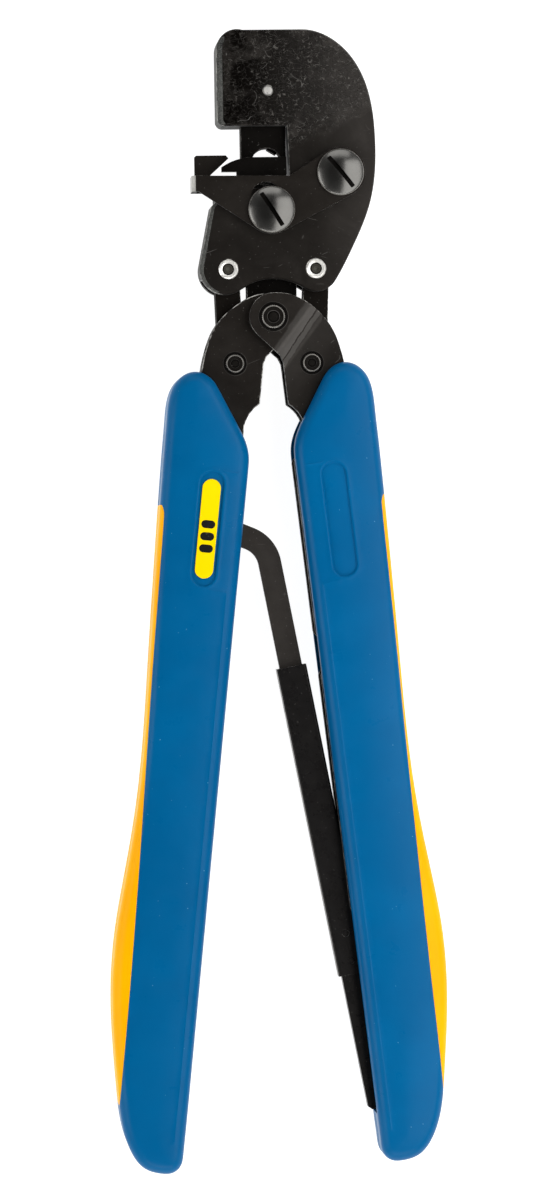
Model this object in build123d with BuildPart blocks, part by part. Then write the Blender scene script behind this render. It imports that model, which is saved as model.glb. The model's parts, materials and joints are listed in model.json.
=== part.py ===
from build123d import *
from math import atan2, cos, degrees, hypot, radians, sin, sqrt
import os

# Ratcheting hand crimping tool with a C-shaped head, straight ram and toggle-driven handles.
# Millimetres. The tool lies on the backs of its grips: +X right, +Y towards the head, +Z up.
# Most outlines are drawn from the main pivot, which joins the two handles to the ram.
os.makedirs("parts", exist_ok=True)

# ---- driving dimensions -------------------------------------------------------------------
PIVOT_X, PIVOT_Y = 1.55, 81.55          # main pivot, measured from the middle of the footprint
GRIP_DEPTH = 24.0                       # front to back over the moulded grips
MID_Z = GRIP_DEPTH / 2                  # height of the tool's middle plane
REST_ANGLE = 6.3                        # each handle leans this far off the tool's centre line

FRAME_T = 13.0                          # C-frame thickness
SLOT_T = 6.5                            # milled slot for ram, toggle links and dies
RAM_T = 6.2
LINK_T = 6.0
FRAME_PIN = (12.7, 13.9)                # toggle link pins in the frame, one inch apart
FRAME_PIN_R = 2.85
HANDLE_PIN = (9.6, -14.45)              # toggle link pin in a handle, in that handle's own axes
HANDLE_PIN_R = 2.65
PIVOT_PIN_R = 3.4
RUN_FIT = 0.05                          # radial clearance of a running pin
OPEN_FIT = 0.35                         # radial clearance at the pivots left open

CHEEK_T = 2.5                           # handle channel sheet
CHEEK_Z = 3.4                           # inner face of the channel sheet from the middle plane
JOGGLE = 2.7                            # right cheeks step outwards by this to pass the left ones
CHANNEL_U = 19.3                        # outer face of the channel's web
CHANNEL_END = -232.0

SCREW_UPPER = (20.1, 41.5)              # locator pivot screw
SCREW_LOWER = (0.0, 30.9)               # locator lock screw
SCREW_HEAD_R = 6.75
SHOULDER_R = 4.1
LOCATOR_T = 1.5
LOCATOR_Z = FRAME_T / 2 + 0.1
LOCATOR_SWING = 10.2                    # degrees of arc in the locator's slot

STRUT_TOP = (4.05, -101.0)              # top of the ratchet sleeve on its axis
STRUT_LEAN = 10.58                      # strut axis off the centre line, degrees
SLEEVE_L, SLEEVE_W, SLEEVE_D = 90.8, 8.7, 6.2
SLEEVE_WALL = 0.8
BAR_W = 6.6
BAR_BACK, BAR_FRONT = -2.2, 0.4         # ratchet bar, back and front faces from the middle plane
BAR_PIVOT = (8.9, -61.7)                # bar's pivot in the left handle, in that handle's axes
ANCHOR = (6.5, -224.0)                  # strut anchor in the right handle, in that handle's axes

GRIP_SHIFT_U, GRIP_SHIFT_V = 0.95, 1.25  # left cover sits further out and down, right in and up
LABEL_AT = (12.3, -61.5)


# ---- frames of reference -----------------------------------------------------------------
def head_plane(z=0.0):
    return Plane(origin=(PIVOT_X, PIVOT_Y, MID_Z + z), x_dir=(1, 0, 0), z_dir=(0, 0, 1))


def handle_plane(side, z=0.0):
    lean = radians(side * REST_ANGLE)
    return Plane(origin=(PIVOT_X, PIVOT_Y, MID_Z + z), x_dir=(cos(lean), sin(lean), 0), z_dir=(0, 0, 1))


def strut_plane(z=0.0):
    lean = radians(STRUT_LEAN)
    origin = (PIVOT_X + STRUT_TOP[0], PIVOT_Y + STRUT_TOP[1], MID_Z + z)
    return Plane(origin=origin, x_dir=(cos(lean), sin(lean), 0), z_dir=(0, 0, 1))


def handle_to_tool(side, point):
    # a point in a handle's own axes (outwards, up), given in the head's axes
    lean = radians(side * REST_ANGLE)
    u, v = side * point[0], point[1]
    return (u * cos(lean) - v * sin(lean), u * sin(lean) + v * cos(lean))


def tool_to_strut(point):
    lean = radians(STRUT_LEAN)
    dx, dy = point[0] - STRUT_TOP[0], point[1] - STRUT_TOP[1]
    return (dx * cos(lean) + dy * sin(lean), -dx * sin(lean) + dy * cos(lean))


def on_circle(centre, radius, angle):
    return (centre[0] + radius * cos(radians(angle)), centre[1] + radius * sin(radians(angle)))


def mirrored(side, *points):
    return [(side * x, y) for x, y in points]


def smooth_curve(points, start, end):
    # a spline through the points that leaves and arrives in the given directions
    return Spline(points, tangents=(start, end), tangent_scalars=(1, 1))


def save(piece, name):
    piece.part.label = name
    export_step(piece.part, f"parts/{name}.step")


# ---- head frame ---------------------------------------------------------------------------
LOBE_R, LOBE_L = 6.6, 7.3               # round lobes at the right and left frame pins
LOBE_AT = (-13.6, 13.9)                 # the left lobe is fuller on its outer side
LEFT_PIN = (-FRAME_PIN[0], FRAME_PIN[1])
THROAT_FLOOR, THROAT_ROOF, THROAT_WALL = 37.2, 55.3, 5.8
JAW_LEFT, JAW_TOP = -15.2, 83.0
DIE_LEFT, DIE_RIGHT, DIE_TOP = -8.3, 4.7, 70.5
DIE_PIN = (-0.4, 65.4)
DIE_PIN_R = 1.45
RAM_HALF = 7.2
PLATE_RECESS = (-7.0, 33.0, 5.8)        # left, bottom and right of the ram plate's relief
PLATE_FRONT = 5.3

right_side = on_circle(FRAME_PIN, LOBE_R, -32)
right_foot = on_circle(FRAME_PIN, LOBE_R, -123)
left_foot = on_circle(LOBE_AT, LOBE_L, -52)
left_side = on_circle(LOBE_AT, LOBE_L, 172)

with BuildPart() as head_frame:
    with BuildSketch(head_plane(-FRAME_T / 2)):
        with BuildLine():
            Line((JAW_LEFT, 57.3), (JAW_LEFT, 77))
            RadiusArc((JAW_LEFT, 77), (-7.6, JAW_TOP), 6)
            Line((-7.6, JAW_TOP), (9.7, JAW_TOP))
            smooth_curve([(9.7, JAW_TOP), (20.5, 78.6), (27.4, 68.7), (30.4, 52), (28.6, 32.5), (23.6, 20.3),
                          right_side], (1, 0), (-0.53, -0.85))
            ThreePointArc(right_side, on_circle(FRAME_PIN, LOBE_R, -80), right_foot)
            ThreePointArc(right_foot, (0, 11.1), left_foot)
            ThreePointArc(left_foot, on_circle(LOBE_AT, LOBE_L, -120), left_side)
            Polyline(left_side, (-17.4, 32.0), (-16.2, 33.2), (-16.2, THROAT_FLOOR),
                     (THROAT_WALL, THROAT_FLOOR), (THROAT_WALL, THROAT_ROOF), (-13.2, THROAT_ROOF))
            RadiusArc((-13.2, THROAT_ROOF), (JAW_LEFT, 57.3), 2.05)
        make_face()
    extrude(amount=FRAME_T)
    chamfer(head_frame.faces().sort_by(Axis.Z)[-1].outer_wire().edges(), 0.4)
    chamfer(head_frame.faces().sort_by(Axis.Z)[0].outer_wire().edges(), 0.4)
    # slot for the ram and the two toggle links, open at the bottom
    with BuildSketch(head_plane(-SLOT_T / 2)):
        with Locations((0, 20)):
            Rectangle(2 * RAM_HALF + 0.2, 40)
        with Locations((0, 7)):
            Rectangle(35.0, 14)
        with Locations((0, 5)):
            Rectangle(50.0, 12)
        with Locations(FRAME_PIN, LEFT_PIN):
            Circle(4.6)
    extrude(amount=SLOT_T, mode=Mode.SUBTRACT)
    # slot in the upper jaw for the fixed dies
    with BuildSketch(head_plane(-SLOT_T / 2)):
        with Locations(((DIE_LEFT + DIE_RIGHT) / 2, (THROAT_ROOF + DIE_TOP) / 2)):
            Rectangle(DIE_RIGHT - DIE_LEFT + 0.1, DIE_TOP - THROAT_ROOF + 0.4)
    extrude(amount=SLOT_T, mode=Mode.SUBTRACT)
    # relief in the front wall for the plate on the ram
    with BuildSketch(head_plane(SLOT_T / 2 - 0.1)):
        with Locations((PLATE_RECESS[0], PLATE_RECESS[1])):
            Rectangle(PLATE_RECESS[2] - PLATE_RECESS[0], 10, align=(Align.MIN, Align.MIN))
    extrude(amount=PLATE_FRONT + 0.2 - SLOT_T / 2 + 0.1, mode=Mode.SUBTRACT)
    # pin and screw holes
    with BuildSketch(head_plane(-FRAME_T)):
        with Locations(FRAME_PIN, LEFT_PIN):
            Circle(FRAME_PIN_R + 0.02)
        with Locations(DIE_PIN):
            Circle(DIE_PIN_R + 0.02)
    extrude(amount=2 * FRAME_T, mode=Mode.SUBTRACT)
    with BuildSketch(head_plane(FRAME_T / 2 - 3.3)):
        with Locations(SCREW_UPPER, SCREW_LOWER):
            Circle(2.52)
    extrude(amount=5, mode=Mode.SUBTRACT)
save(head_frame, "head_frame")


# ---- fixed dies, side by side in the upper jaw ---------------------------------------------
ARCH = (-0.9, 44.77)
ARCH_R = 4.33
DIE_FOOT = 44.1
DIE_Z = 3.05


def make_crimper(z_from, z_to, nub):
    with BuildPart() as crimper:
        with BuildSketch(head_plane(z_from)):
            with Locations((DIE_LEFT, DIE_FOOT)):
                Rectangle(DIE_RIGHT - DIE_LEFT, DIE_TOP - DIE_FOOT, align=(Align.MIN, Align.MIN))
            with Locations(ARCH):
                Circle(ARCH_R, mode=Mode.SUBTRACT)
                Rectangle(2 * ARCH_R, 4, align=(Align.CENTER, Align.MAX), mode=Mode.SUBTRACT)
            with Locations(DIE_PIN):
                Circle(DIE_PIN_R + 0.02, mode=Mode.SUBTRACT)
            if nub:
                # insulation side: a small lip that curls the terminal's tab
                with BuildLine():
                    Polyline((-0.9, 49.6), (-0.6, 48.7), (1.9, 47.2), (3.2, 49.6), close=True)
                make_face()
        extrude(amount=z_to - z_from)
    return crimper


wire_crimper = make_crimper(0.05, DIE_Z, False)
save(wire_crimper, "wire_crimper")
insulation_crimper = make_crimper(-DIE_Z, -0.05, True)
save(insulation_crimper, "insulation_crimper")

with BuildPart() as die_retaining_pin:
    with BuildSketch(head_plane(-FRAME_T / 2 + 0.2)):
        with Locations(DIE_PIN):
            Circle(DIE_PIN_R)
    extrude(amount=FRAME_T - 0.4)
    chamfer(die_retaining_pin.edges().filter_by(GeomType.CIRCLE), 0.25)
save(die_retaining_pin, "die_retaining_pin")

with BuildPart() as frame_pins:
    with BuildSketch(head_plane(-FRAME_T / 2 - 0.3)):
        with Locations(FRAME_PIN, LEFT_PIN):
            Circle(FRAME_PIN_R)
    extrude(amount=FRAME_T + 0.6)
    chamfer(frame_pins.edges().filter_by(GeomType.CIRCLE), 0.35)
    # recessed hexagon in each end
    for z in (FRAME_T / 2 - 0.5, -FRAME_T / 2 - 0.3):
        with BuildSketch(head_plane(z)):
            with Locations(FRAME_PIN, LEFT_PIN):
                RegularPolygon(1.55, 6)
        extrude(amount=0.8, mode=Mode.SUBTRACT)
save(frame_pins, "frame_pins")


# ---- ram with its dies ----------------------------------------------------------------------
RAM_TOP = 40.5
TANG_Z = -1.5                           # the anvils' tangs stand in front of this depth
CLAMP_SCREW = (-0.9, 38.9)

with BuildPart() as ram:
    with BuildSketch(head_plane(-RAM_T / 2)):
        Circle(6.6)
        with Locations((0, 20.5)):
            Rectangle(2 * RAM_HALF, 31)
        with Locations((0, 3)):
            Rectangle(12.6, 6)
        with Locations((-6.5, 30)):
            Rectangle(11.9, RAM_TOP - 30, align=(Align.MIN, Align.MIN))
        Circle(PIVOT_PIN_R + 0.02, mode=Mode.SUBTRACT)
    extrude(amount=RAM_T)
    # seat for the anvils' tangs, open at the top and the front
    with BuildSketch(head_plane(TANG_Z - 0.05)):
        with Locations((CLAMP_SCREW[0], RAM_TOP)):
            Rectangle(5.1, 4.6, align=(Align.CENTER, Align.MAX))
    extrude(amount=5, mode=Mode.SUBTRACT)
    with BuildSketch(head_plane(-RAM_T)):
        with Locations(CLAMP_SCREW):
            Circle(1.27)
    extrude(amount=RAM_T, mode=Mode.SUBTRACT)
    # oil groove across the front of the shank
    with BuildSketch(head_plane(RAM_T / 2 - 0.4)):
        with Locations((0, 22)):
            Rectangle(2 * RAM_HALF + 1, 1.2)
    extrude(amount=1, mode=Mode.SUBTRACT)
save(ram, "ram")


def make_anvil(z_from, z_to, tang_from, tang_to, horn):
    middle = ARCH[0]
    with BuildPart() as anvil:
        with BuildSketch(head_plane(z_from)):
            with BuildLine():
                Polyline((middle - horn, 46.0), (middle - 3.8, 45.2), (middle - 3.8, RAM_TOP + 0.05),
                         (middle + 3.8, RAM_TOP + 0.05), (middle + 3.8, 45.2), (middle + horn, 46.0))
                ThreePointArc((middle + horn, 46.0), (middle, 45.0), (middle - horn, 46.0))
            make_face()
        extrude(amount=z_to - z_from)
        with BuildSketch(head_plane(tang_from)):
            with Locations((middle, RAM_TOP + 1)):
                Rectangle(5.0, 5.5, align=(Align.CENTER, Align.MAX))
        extrude(amount=tang_to - tang_from)
        with BuildSketch(head_plane(-RAM_T)):
            with Locations(CLAMP_SCREW):
                Circle(1.27)
        extrude(amount=2 * RAM_T, mode=Mode.SUBTRACT)
    return anvil


wire_anvil = make_anvil(0.05, 3.0, 0.05, 3.0, 2.9)
save(wire_anvil, "wire_anvil")
insulation_anvil = make_anvil(-3.0, -0.05, TANG_Z, -0.05, 2.5)
save(insulation_anvil, "insulation_anvil")

with BuildPart() as ram_front_plate:
    with BuildSketch(head_plane(PLATE_FRONT - 2.0)):
        with BuildLine():
            Line((4.7, 46.3), (-5.5, 46.3))
            smooth_curve([(-5.5, 46.3), (-8.7, 45.85), (-11.8, 44.8), (-14.1, 43.5)],
                         (-1, 0), (-0.85, -0.5))
            Polyline((-14.1, 43.5), (-14.1, 42.1), (-9.8, 42.1), (-9.8, 40.8), (-6.6, 40.8), (-6.6, 37.3),
                     (4.7, 37.3), (4.7, 46.3))
        make_face()
        with Locations(CLAMP_SCREW):
            Circle(1.32, mode=Mode.SUBTRACT)
    extrude(amount=2.0)
    # countersink for the clamp screw
    with BuildSketch(head_plane(PLATE_FRONT - 1.0)):
        with Locations(CLAMP_SCREW):
            Circle(1.32)
    with BuildSketch(head_plane(PLATE_FRONT)):
        with Locations(CLAMP_SCREW):
            Circle(2.35)
    loft(mode=Mode.SUBTRACT)
save(ram_front_plate, "ram_front_plate")

with BuildPart() as die_clamp_screw:
    with BuildSketch(head_plane(-2.9)):
        with Locations(CLAMP_SCREW):
            Circle(1.25)
    extrude(amount=2.9 + PLATE_FRONT - 1.0)
    with BuildSketch(head_plane(PLATE_FRONT - 1.0)):
        with Locations(CLAMP_SCREW):
            Circle(1.25)
    with BuildSketch(head_plane(PLATE_FRONT - 0.05)):
        with Locations(CLAMP_SCREW):
            Circle(2.2)
    loft()
    with BuildSketch(head_plane(PLATE_FRONT - 0.5)):
        with Locations(CLAMP_SCREW):
            Rectangle(5, 0.6, rotation=30)
    extrude(amount=1, mode=Mode.SUBTRACT)
save(die_clamp_screw, "die_clamp_screw")


# ---- main pivot pin and its retaining ring ---------------------------------------------------
RIGHT_CHEEK_Z = CHEEK_Z + JOGGLE        # inner face of the right cheeks at the pivot
PIN_END = RIGHT_CHEEK_Z + CHEEK_T       # outer face of the right cheeks at the pivot
RING_Z = -PIN_END - 0.9

with BuildPart() as main_pivot_pin:
    with BuildSketch(head_plane(-PIN_END - 1.5)):
        Circle(PIVOT_PIN_R)
    extrude(amount=2 * PIN_END + 1.9)
    chamfer(main_pivot_pin.faces().sort_by(Axis.Z)[-1].edges(), 0.3)
    chamfer(main_pivot_pin.faces().sort_by(Axis.Z)[0].edges(), 0.3)
    # turned centre recess in the front end
    with BuildSketch(head_plane(PIN_END + 0.1)):
        Circle(1.75)
        Circle(1.05, mode=Mode.SUBTRACT)
    extrude(amount=1, mode=Mode.SUBTRACT)
    # groove for the retaining ring
    with BuildSketch(head_plane(RING_Z)):
        Circle(PIVOT_PIN_R + 1)
        Circle(PIVOT_PIN_R - 0.6, mode=Mode.SUBTRACT)
    extrude(amount=0.7, mode=Mode.SUBTRACT)
save(main_pivot_pin, "main_pivot_pin")

with BuildPart() as pivot_retaining_ring:
    with BuildSketch(head_plane(RING_Z + 0.03)):
        Circle(5.2)
        Circle(PIVOT_PIN_R - 0.58, mode=Mode.SUBTRACT)
        with Locations((0, -4)):
            Rectangle(3.6, 8, mode=Mode.SUBTRACT)
    extrude(amount=0.64)
save(pivot_retaining_ring, "pivot_retaining_ring")


# ---- locator with its two shoulder screws ----------------------------------------------------
SLOT_R = SHOULDER_R + 0.2               # half width of the locator's arc slot
BLADE_Z = 0.8                           # front face of the stop blade from the middle plane
slot_r = hypot(SCREW_UPPER[0] - SCREW_LOWER[0], SCREW_UPPER[1] - SCREW_LOWER[1])
slot_angle = degrees(atan2(SCREW_LOWER[1] - SCREW_UPPER[1], SCREW_LOWER[0] - SCREW_UPPER[0]))
upper_left = on_circle(SCREW_UPPER, 7.2, 120.5)
upper_right = on_circle(SCREW_UPPER, 7.2, -62.7)
lower_right = on_circle(SCREW_LOWER, 7.0, -62.7)
lower_left = on_circle(SCREW_LOWER, 7.0, -122.5)
TAB_LEFT, TAB_RIGHT, TAB_LOW, TAB_HIGH = -22.9, -21.4, 36.3, 40.9

with BuildPart() as locator_plate:
    with BuildSketch(head_plane(LOCATOR_Z)):
        with BuildLine():
            Polyline((TAB_LEFT, TAB_LOW), (TAB_LEFT, TAB_HIGH), (5.4, 40.6), upper_left)
            ThreePointArc(upper_left, on_circle(SCREW_UPPER, 7.2, 28), upper_right)
            Line(upper_right, lower_right)
            ThreePointArc(lower_right, on_circle(SCREW_LOWER, 7.0, -92), lower_left)
            Polyline(lower_left, (-20.9, TAB_LOW), (TAB_LEFT, TAB_LOW))
        make_face()
        with Locations(SCREW_UPPER):
            Circle(SHOULDER_R + 0.08, mode=Mode.SUBTRACT)
        # arc slot about the upper screw for the lower screw's shoulder
        with BuildLine():
            CenterArc(SCREW_UPPER, slot_r, slot_angle - LOCATOR_SWING, LOCATOR_SWING)
        trace(line_width=2 * SLOT_R, mode=Mode.SUBTRACT)
        with Locations(SCREW_LOWER, on_circle(SCREW_UPPER, slot_r, slot_angle - LOCATOR_SWING)):
            Circle(SLOT_R, mode=Mode.SUBTRACT)
    extrude(amount=LOCATOR_T)
    # tab bent back at the left end, and the stop blade bent up from it
    with BuildSketch(head_plane(-BLADE_Z)):
        with BuildLine():
            Polyline((TAB_LEFT, TAB_LOW), (TAB_LEFT, TAB_HIGH), (TAB_RIGHT, TAB_HIGH), (TAB_RIGHT, TAB_LOW),
                     close=True)
        make_face()
    extrude(amount=LOCATOR_Z + LOCATOR_T + BLADE_Z)
    bends = locator_plate.edges().filter_by(Axis.Y)
    fillet(bends.group_by(Axis.Z)[-1].sort_by(Axis.X)[0], 1.3)
    with BuildSketch(head_plane(-BLADE_Z)):
        with BuildLine():
            Polyline((TAB_RIGHT, TAB_LOW), (-18.6, TAB_LOW), (-17.5, 41.2), (-11.8, 46.4), (-12.6, 47.25),
                     (-21.2, 47.25), (-21.7, 46.75), (-21.7, TAB_HIGH), (TAB_LEFT, TAB_HIGH),
                     (TAB_LEFT, TAB_LOW), close=True)
        make_face()
    extrude(amount=2 * BLADE_Z)
save(locator_plate, "locator_plate")

HEAD_Z = LOCATOR_Z + LOCATOR_T + 0.05
RIM_H, DOME_H, SLOT_DEPTH = 0.9, 1.9, 1.0
dome_r = (SCREW_HEAD_R ** 2 + DOME_H ** 2) / (2 * DOME_H)
SLOT_TURN = {SCREW_UPPER: -51.0, SCREW_LOWER: -57.3}

with BuildPart() as locator_screws:
    for at in (SCREW_UPPER, SCREW_LOWER):
        with BuildSketch(head_plane(FRAME_T / 2 - 3.1)):
            with Locations(at):
                Circle(2.5)
        extrude(amount=4)
        with BuildSketch(head_plane(FRAME_T / 2 + 0.02)):
            with Locations(at):
                Circle(SHOULDER_R)
        extrude(amount=HEAD_Z - FRAME_T / 2)
        # domed head: a disc with a crown turned about the screw's axis
        axis_x, axis_y = PIVOT_X + at[0], PIVOT_Y + at[1]
        with BuildSketch(Plane(origin=(axis_x, axis_y, MID_Z + HEAD_Z), x_dir=(1, 0, 0), z_dir=(0, -1, 0))):
            with BuildLine():
                Polyline((0, RIM_H + DOME_H), (0, 0), (SCREW_HEAD_R, 0), (SCREW_HEAD_R, RIM_H))
                RadiusArc((SCREW_HEAD_R, RIM_H), (0, RIM_H + DOME_H), -dome_r)
            make_face()
        revolve(axis=Axis((axis_x, axis_y, 0), (0, 0, 1)))
    for at, turn in SLOT_TURN.items():
        with BuildSketch(head_plane(HEAD_Z + RIM_H + DOME_H - SLOT_DEPTH)):
            with Locations(at):
                Rectangle(2 * SCREW_HEAD_R, 1.3, rotation=turn)
        extrude(amount=3, mode=Mode.SUBTRACT)
save(locator_screws, "locator_screws")


# ---- toggle links ----------------------------------------------------------------------------
def make_link(side):
    # thick link between the frame pin and the handle pin, fuller on its outer side
    fx, fy = side * FRAME_PIN[0], FRAME_PIN[1]
    hx, hy = handle_to_tool(side, HANDLE_PIN)
    length = hypot(fx - hx, fy - hy)
    lean = atan2(fx - hx, fy - hy)
    plane = Plane(origin=(PIVOT_X + hx, PIVOT_Y + hy, MID_Z - LINK_T / 2), x_dir=(cos(lean), -sin(lean), 0),
                  z_dir=(0, 0, 1))
    with BuildPart() as link:
        with BuildSketch(plane):
            with BuildLine():
                Polyline(mirrored(side, (-3.2, 1.5), (-3.2, length - 1.5), (4.0, length), (4.6, 0)),
                         close=True)
            make_face()
            Circle(4.6)
            with Locations((0, length)):
                Circle(4.0)
                Circle(FRAME_PIN_R + RUN_FIT, mode=Mode.SUBTRACT)
            Circle(HANDLE_PIN_R + OPEN_FIT, mode=Mode.SUBTRACT)
        extrude(amount=LINK_T)
    return link


for side, name in ((-1, "left_toggle_link"), (1, "right_toggle_link")):
    save(make_link(side), name)


# ---- handle channels --------------------------------------------------------------------------
GRIP_IN = 2.05                          # inner edge of the grips
EDGE_PROUD = 0.2                        # the right channel's edge shows past its grip by this
EDGE_RELIEF = 1.0                       # depth of the shallow cut-outs in that edge


def channel_profile(side, z):
    edge = GRIP_IN - side * (GRIP_SHIFT_U + EDGE_PROUD)
    relief = edge + EDGE_RELIEF
    with BuildSketch(handle_plane(side, z)) as profile:
        with BuildLine():
            smooth_curve(mirrored(side, (0, 6.9), (6.0, 5.7), (11.0, 2.3), (14.2, -1.0), (16.6, -5.0),
                                  (18.2, -10.5), (CHANNEL_U, -24)), (side, 0), (0, -1))
            Polyline(mirrored(side, (CHANNEL_U, -24), (CHANNEL_U, CHANNEL_END), (relief, CHANNEL_END),
                              (relief, -175), (edge, -172), (edge, -104), (relief, -103), (relief, -93),
                              (edge, -92), (edge, -42), (5.2, -37), (5.2, -32)))
            ThreePointArc(*mirrored(side, (5.2, -32), (3.9, -28.2), (1.35, -25.4)))
            Polyline(mirrored(side, (1.35, -25.4), (1.35, -13.5), (0.7, -11.5),
                              on_circle((0, 0), 6.9, 222)))
            ThreePointArc(*mirrored(side, on_circle((0, 0), 6.9, 222), on_circle((0, 0), 6.9, 160),
                                    (0, 6.9)))
        make_face()
        Circle(PIVOT_PIN_R + RUN_FIT, mode=Mode.SUBTRACT)
        with Locations(mirrored(side, HANDLE_PIN)[0]):
            Circle(HANDLE_PIN_R + 0.02, mode=Mode.SUBTRACT)
    return profile.sketch


def make_channel(side):
    with BuildPart() as channel:
        for z in (CHEEK_Z, -CHEEK_Z - CHEEK_T):
            extrude(channel_profile(side, z), amount=CHEEK_T)
        # web joining both sides along the outer edge
        with BuildSketch(handle_plane(side, -CHEEK_Z - CHEEK_T)):
            with BuildLine():
                Polyline(mirrored(side, (CHANNEL_U, -24), (CHANNEL_U, CHANNEL_END),
                                  (CHANNEL_U - 2, CHANNEL_END), (CHANNEL_U - 2, -24)), close=True)
            make_face()
        extrude(amount=2 * (CHEEK_Z + CHEEK_T))
    return channel


# the joggle's bend lines run across the right cheeks; this plane cuts them square
BEND = radians(-43.9)
right_axes = handle_plane(1)
bend_out = right_axes.x_dir * cos(BEND) + right_axes.y_dir * sin(BEND)
bend_along = right_axes.x_dir * -sin(BEND) + right_axes.y_dir * cos(BEND)
bend_plane = Plane(origin=right_axes.origin, x_dir=bend_out, z_dir=bend_along)
bend_up = 1 if bend_plane.y_dir.Z > 0 else -1
FLAT_FROM = 11.5                        # distance from the pivot where the cheeks are flat again

with BuildPart() as bent_cheeks:
    for flip in (bend_up, -bend_up):
        low, high, step = flip * CHEEK_Z, flip * (CHEEK_Z + CHEEK_T), flip * JOGGLE
        with BuildSketch(bend_plane):
            with BuildLine():
                Polyline((-30, low + step), (7.7, low + step), (10.9, low), (FLAT_FROM, low),
                         (FLAT_FROM, high), (7.0, high + step), (-30, high + step), close=True)
            make_face()
        extrude(amount=60, both=True)
    extrude(channel_profile(1, -15), amount=30, mode=Mode.INTERSECT)

save(make_channel(-1), "left_handle_channel")

with BuildPart() as right_handle_channel:
    add(make_channel(1).part)
    with BuildSketch(bend_plane):
        with Locations((-30, 0)):
            Rectangle(30 + FLAT_FROM, 20, align=(Align.MIN, Align.CENTER))
    extrude(amount=60, both=True, mode=Mode.SUBTRACT)
    add(bent_cheeks.part)
    with BuildSketch(handle_plane(1, -15)):
        with Locations(ANCHOR):
            Circle(2.02)
    extrude(amount=30, mode=Mode.SUBTRACT)
save(right_handle_channel, "right_handle_channel")


def make_link_pin(side):
    reach = CHEEK_Z + CHEEK_T + 0.5
    at = mirrored(side, HANDLE_PIN)[0]
    with BuildPart() as pin:
        with BuildSketch(handle_plane(side, -reach)):
            with Locations(at):
                Circle(HANDLE_PIN_R)
        extrude(amount=2 * reach)
        chamfer(pin.edges().filter_by(GeomType.CIRCLE), 0.3)
        with BuildSketch(handle_plane(side, reach - 0.3)):
            with Locations(at):
                Circle(1.2)
                Circle(0.6, mode=Mode.SUBTRACT)
        extrude(amount=1, mode=Mode.SUBTRACT)
    return pin


for side, name in ((-1, "left_link_pin"), (1, "right_link_pin")):
    save(make_link_pin(side), name)


# ---- grips ------------------------------------------------------------------------------------
GRIP_END = -247.8
CAVITY_Z = 6.05                         # half depth of the pocket that takes the channel
EDGE_ROUND = 3.2
FOOT_R = 4.5                            # radius at the foot of the inner edge


def grip_plane(side, z=0.0):
    shifted = handle_plane(side, z)
    du, dv = GRIP_SHIFT_U, -side * -GRIP_SHIFT_V
    return Plane(origin=shifted.origin - shifted.x_dir * du + shifted.y_dir * dv, x_dir=shifted.x_dir,
                 z_dir=(0, 0, 1))


def grip_profile(side, z):
    foot_middle = (GRIP_IN + FOOT_R * (1 - sqrt(0.5)), GRIP_END + FOOT_R * (1 - sqrt(0.5)))
    with BuildSketch(grip_plane(side, z)) as profile:
        with BuildLine():
            Line(*mirrored(side, (GRIP_IN, -41.5), (GRIP_IN, GRIP_END + FOOT_R)))
            ThreePointArc(*mirrored(side, (GRIP_IN, GRIP_END + FOOT_R), foot_middle,
                                    (GRIP_IN + FOOT_R, GRIP_END)))
            smooth_curve(mirrored(side, (GRIP_IN + FOOT_R, GRIP_END), (12.45, -246.9), (17.3, -242.0),
                                  (22.7, -224.7), (26.4, -202), (27.4, -182), (25.7, -159), (24.55, -141),
                                  (25.15, -100), (26.35, -60), (26.85, -33)), (side, 0), (0, 1))
            smooth_curve(mirrored(side, (26.85, -33), (26.7, -24.5), (25.1, -20.0), (19.8, -16.6),
                                  (13.4, -20.1)), (0, 1), (-0.551 * side, -0.834))
            Line(*mirrored(side, (13.4, -20.1), (5.6, -31.9)))
            smooth_curve(mirrored(side, (5.6, -31.9), (3.1, -36.4), (GRIP_IN, -41.5)),
                         (-0.551 * side, -0.834), (0, -1))
        make_face()
    return profile.sketch


def insert_profile(side, z):
    # the outer strip of the grip in the second colour
    with BuildSketch(grip_plane(side, z)) as profile:
        with BuildLine():
            smooth_curve(mirrored(side, (30, -54.5), (26.6, -55.2), (25.1, -58.5), (24.2, -105),
                                  (23.0, -150), (22.2, -190), (21.9, -222), (21.9, -230)), (-side, 0), (0, -1))
            Polyline(mirrored(side, (21.9, -230), (40, -230), (40, -54.5), (30, -54.5)))
        make_face()
    return profile.sketch


def make_whole_grip(side):
    with BuildPart() as grip:
        extrude(grip_profile(side, -GRIP_DEPTH / 2), amount=GRIP_DEPTH)
        fillet(grip.faces().sort_by(Axis.Z)[-1].edges(), EDGE_ROUND)
        fillet(grip.faces().sort_by(Axis.Z)[0].edges(), EDGE_ROUND)
    return grip


def make_grip(side, whole):
    with BuildPart() as grip:
        add(whole.part)
        extrude(insert_profile(side, -GRIP_DEPTH), amount=2 * GRIP_DEPTH, mode=Mode.SUBTRACT)
        # pocket for the steel channel, open towards the other handle and at the top
        with BuildSketch(handle_plane(side, -CAVITY_Z)):
            with BuildLine():
                Polyline(mirrored(side, (-3, 0), (CHANNEL_U + 0.1, 0), (CHANNEL_U + 0.1, CHANNEL_END - 0.1),
                                  (-3, CHANNEL_END - 0.1)), close=True)
            make_face()
        extrude(amount=2 * CAVITY_Z, mode=Mode.SUBTRACT)
        # label recess in the front face
        with BuildSketch(grip_plane(side, GRIP_DEPTH / 2 - 0.6)):
            with Locations(mirrored(side, LABEL_AT)[0]):
                SlotOverall(33.4, 7.2, rotation=90)
        extrude(amount=1, mode=Mode.SUBTRACT)
    return grip


def make_insert(side, whole):
    with BuildPart() as strip:
        add(whole.part)
        extrude(insert_profile(side, -GRIP_DEPTH), amount=2 * GRIP_DEPTH, mode=Mode.INTERSECT)
    return strip


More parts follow.
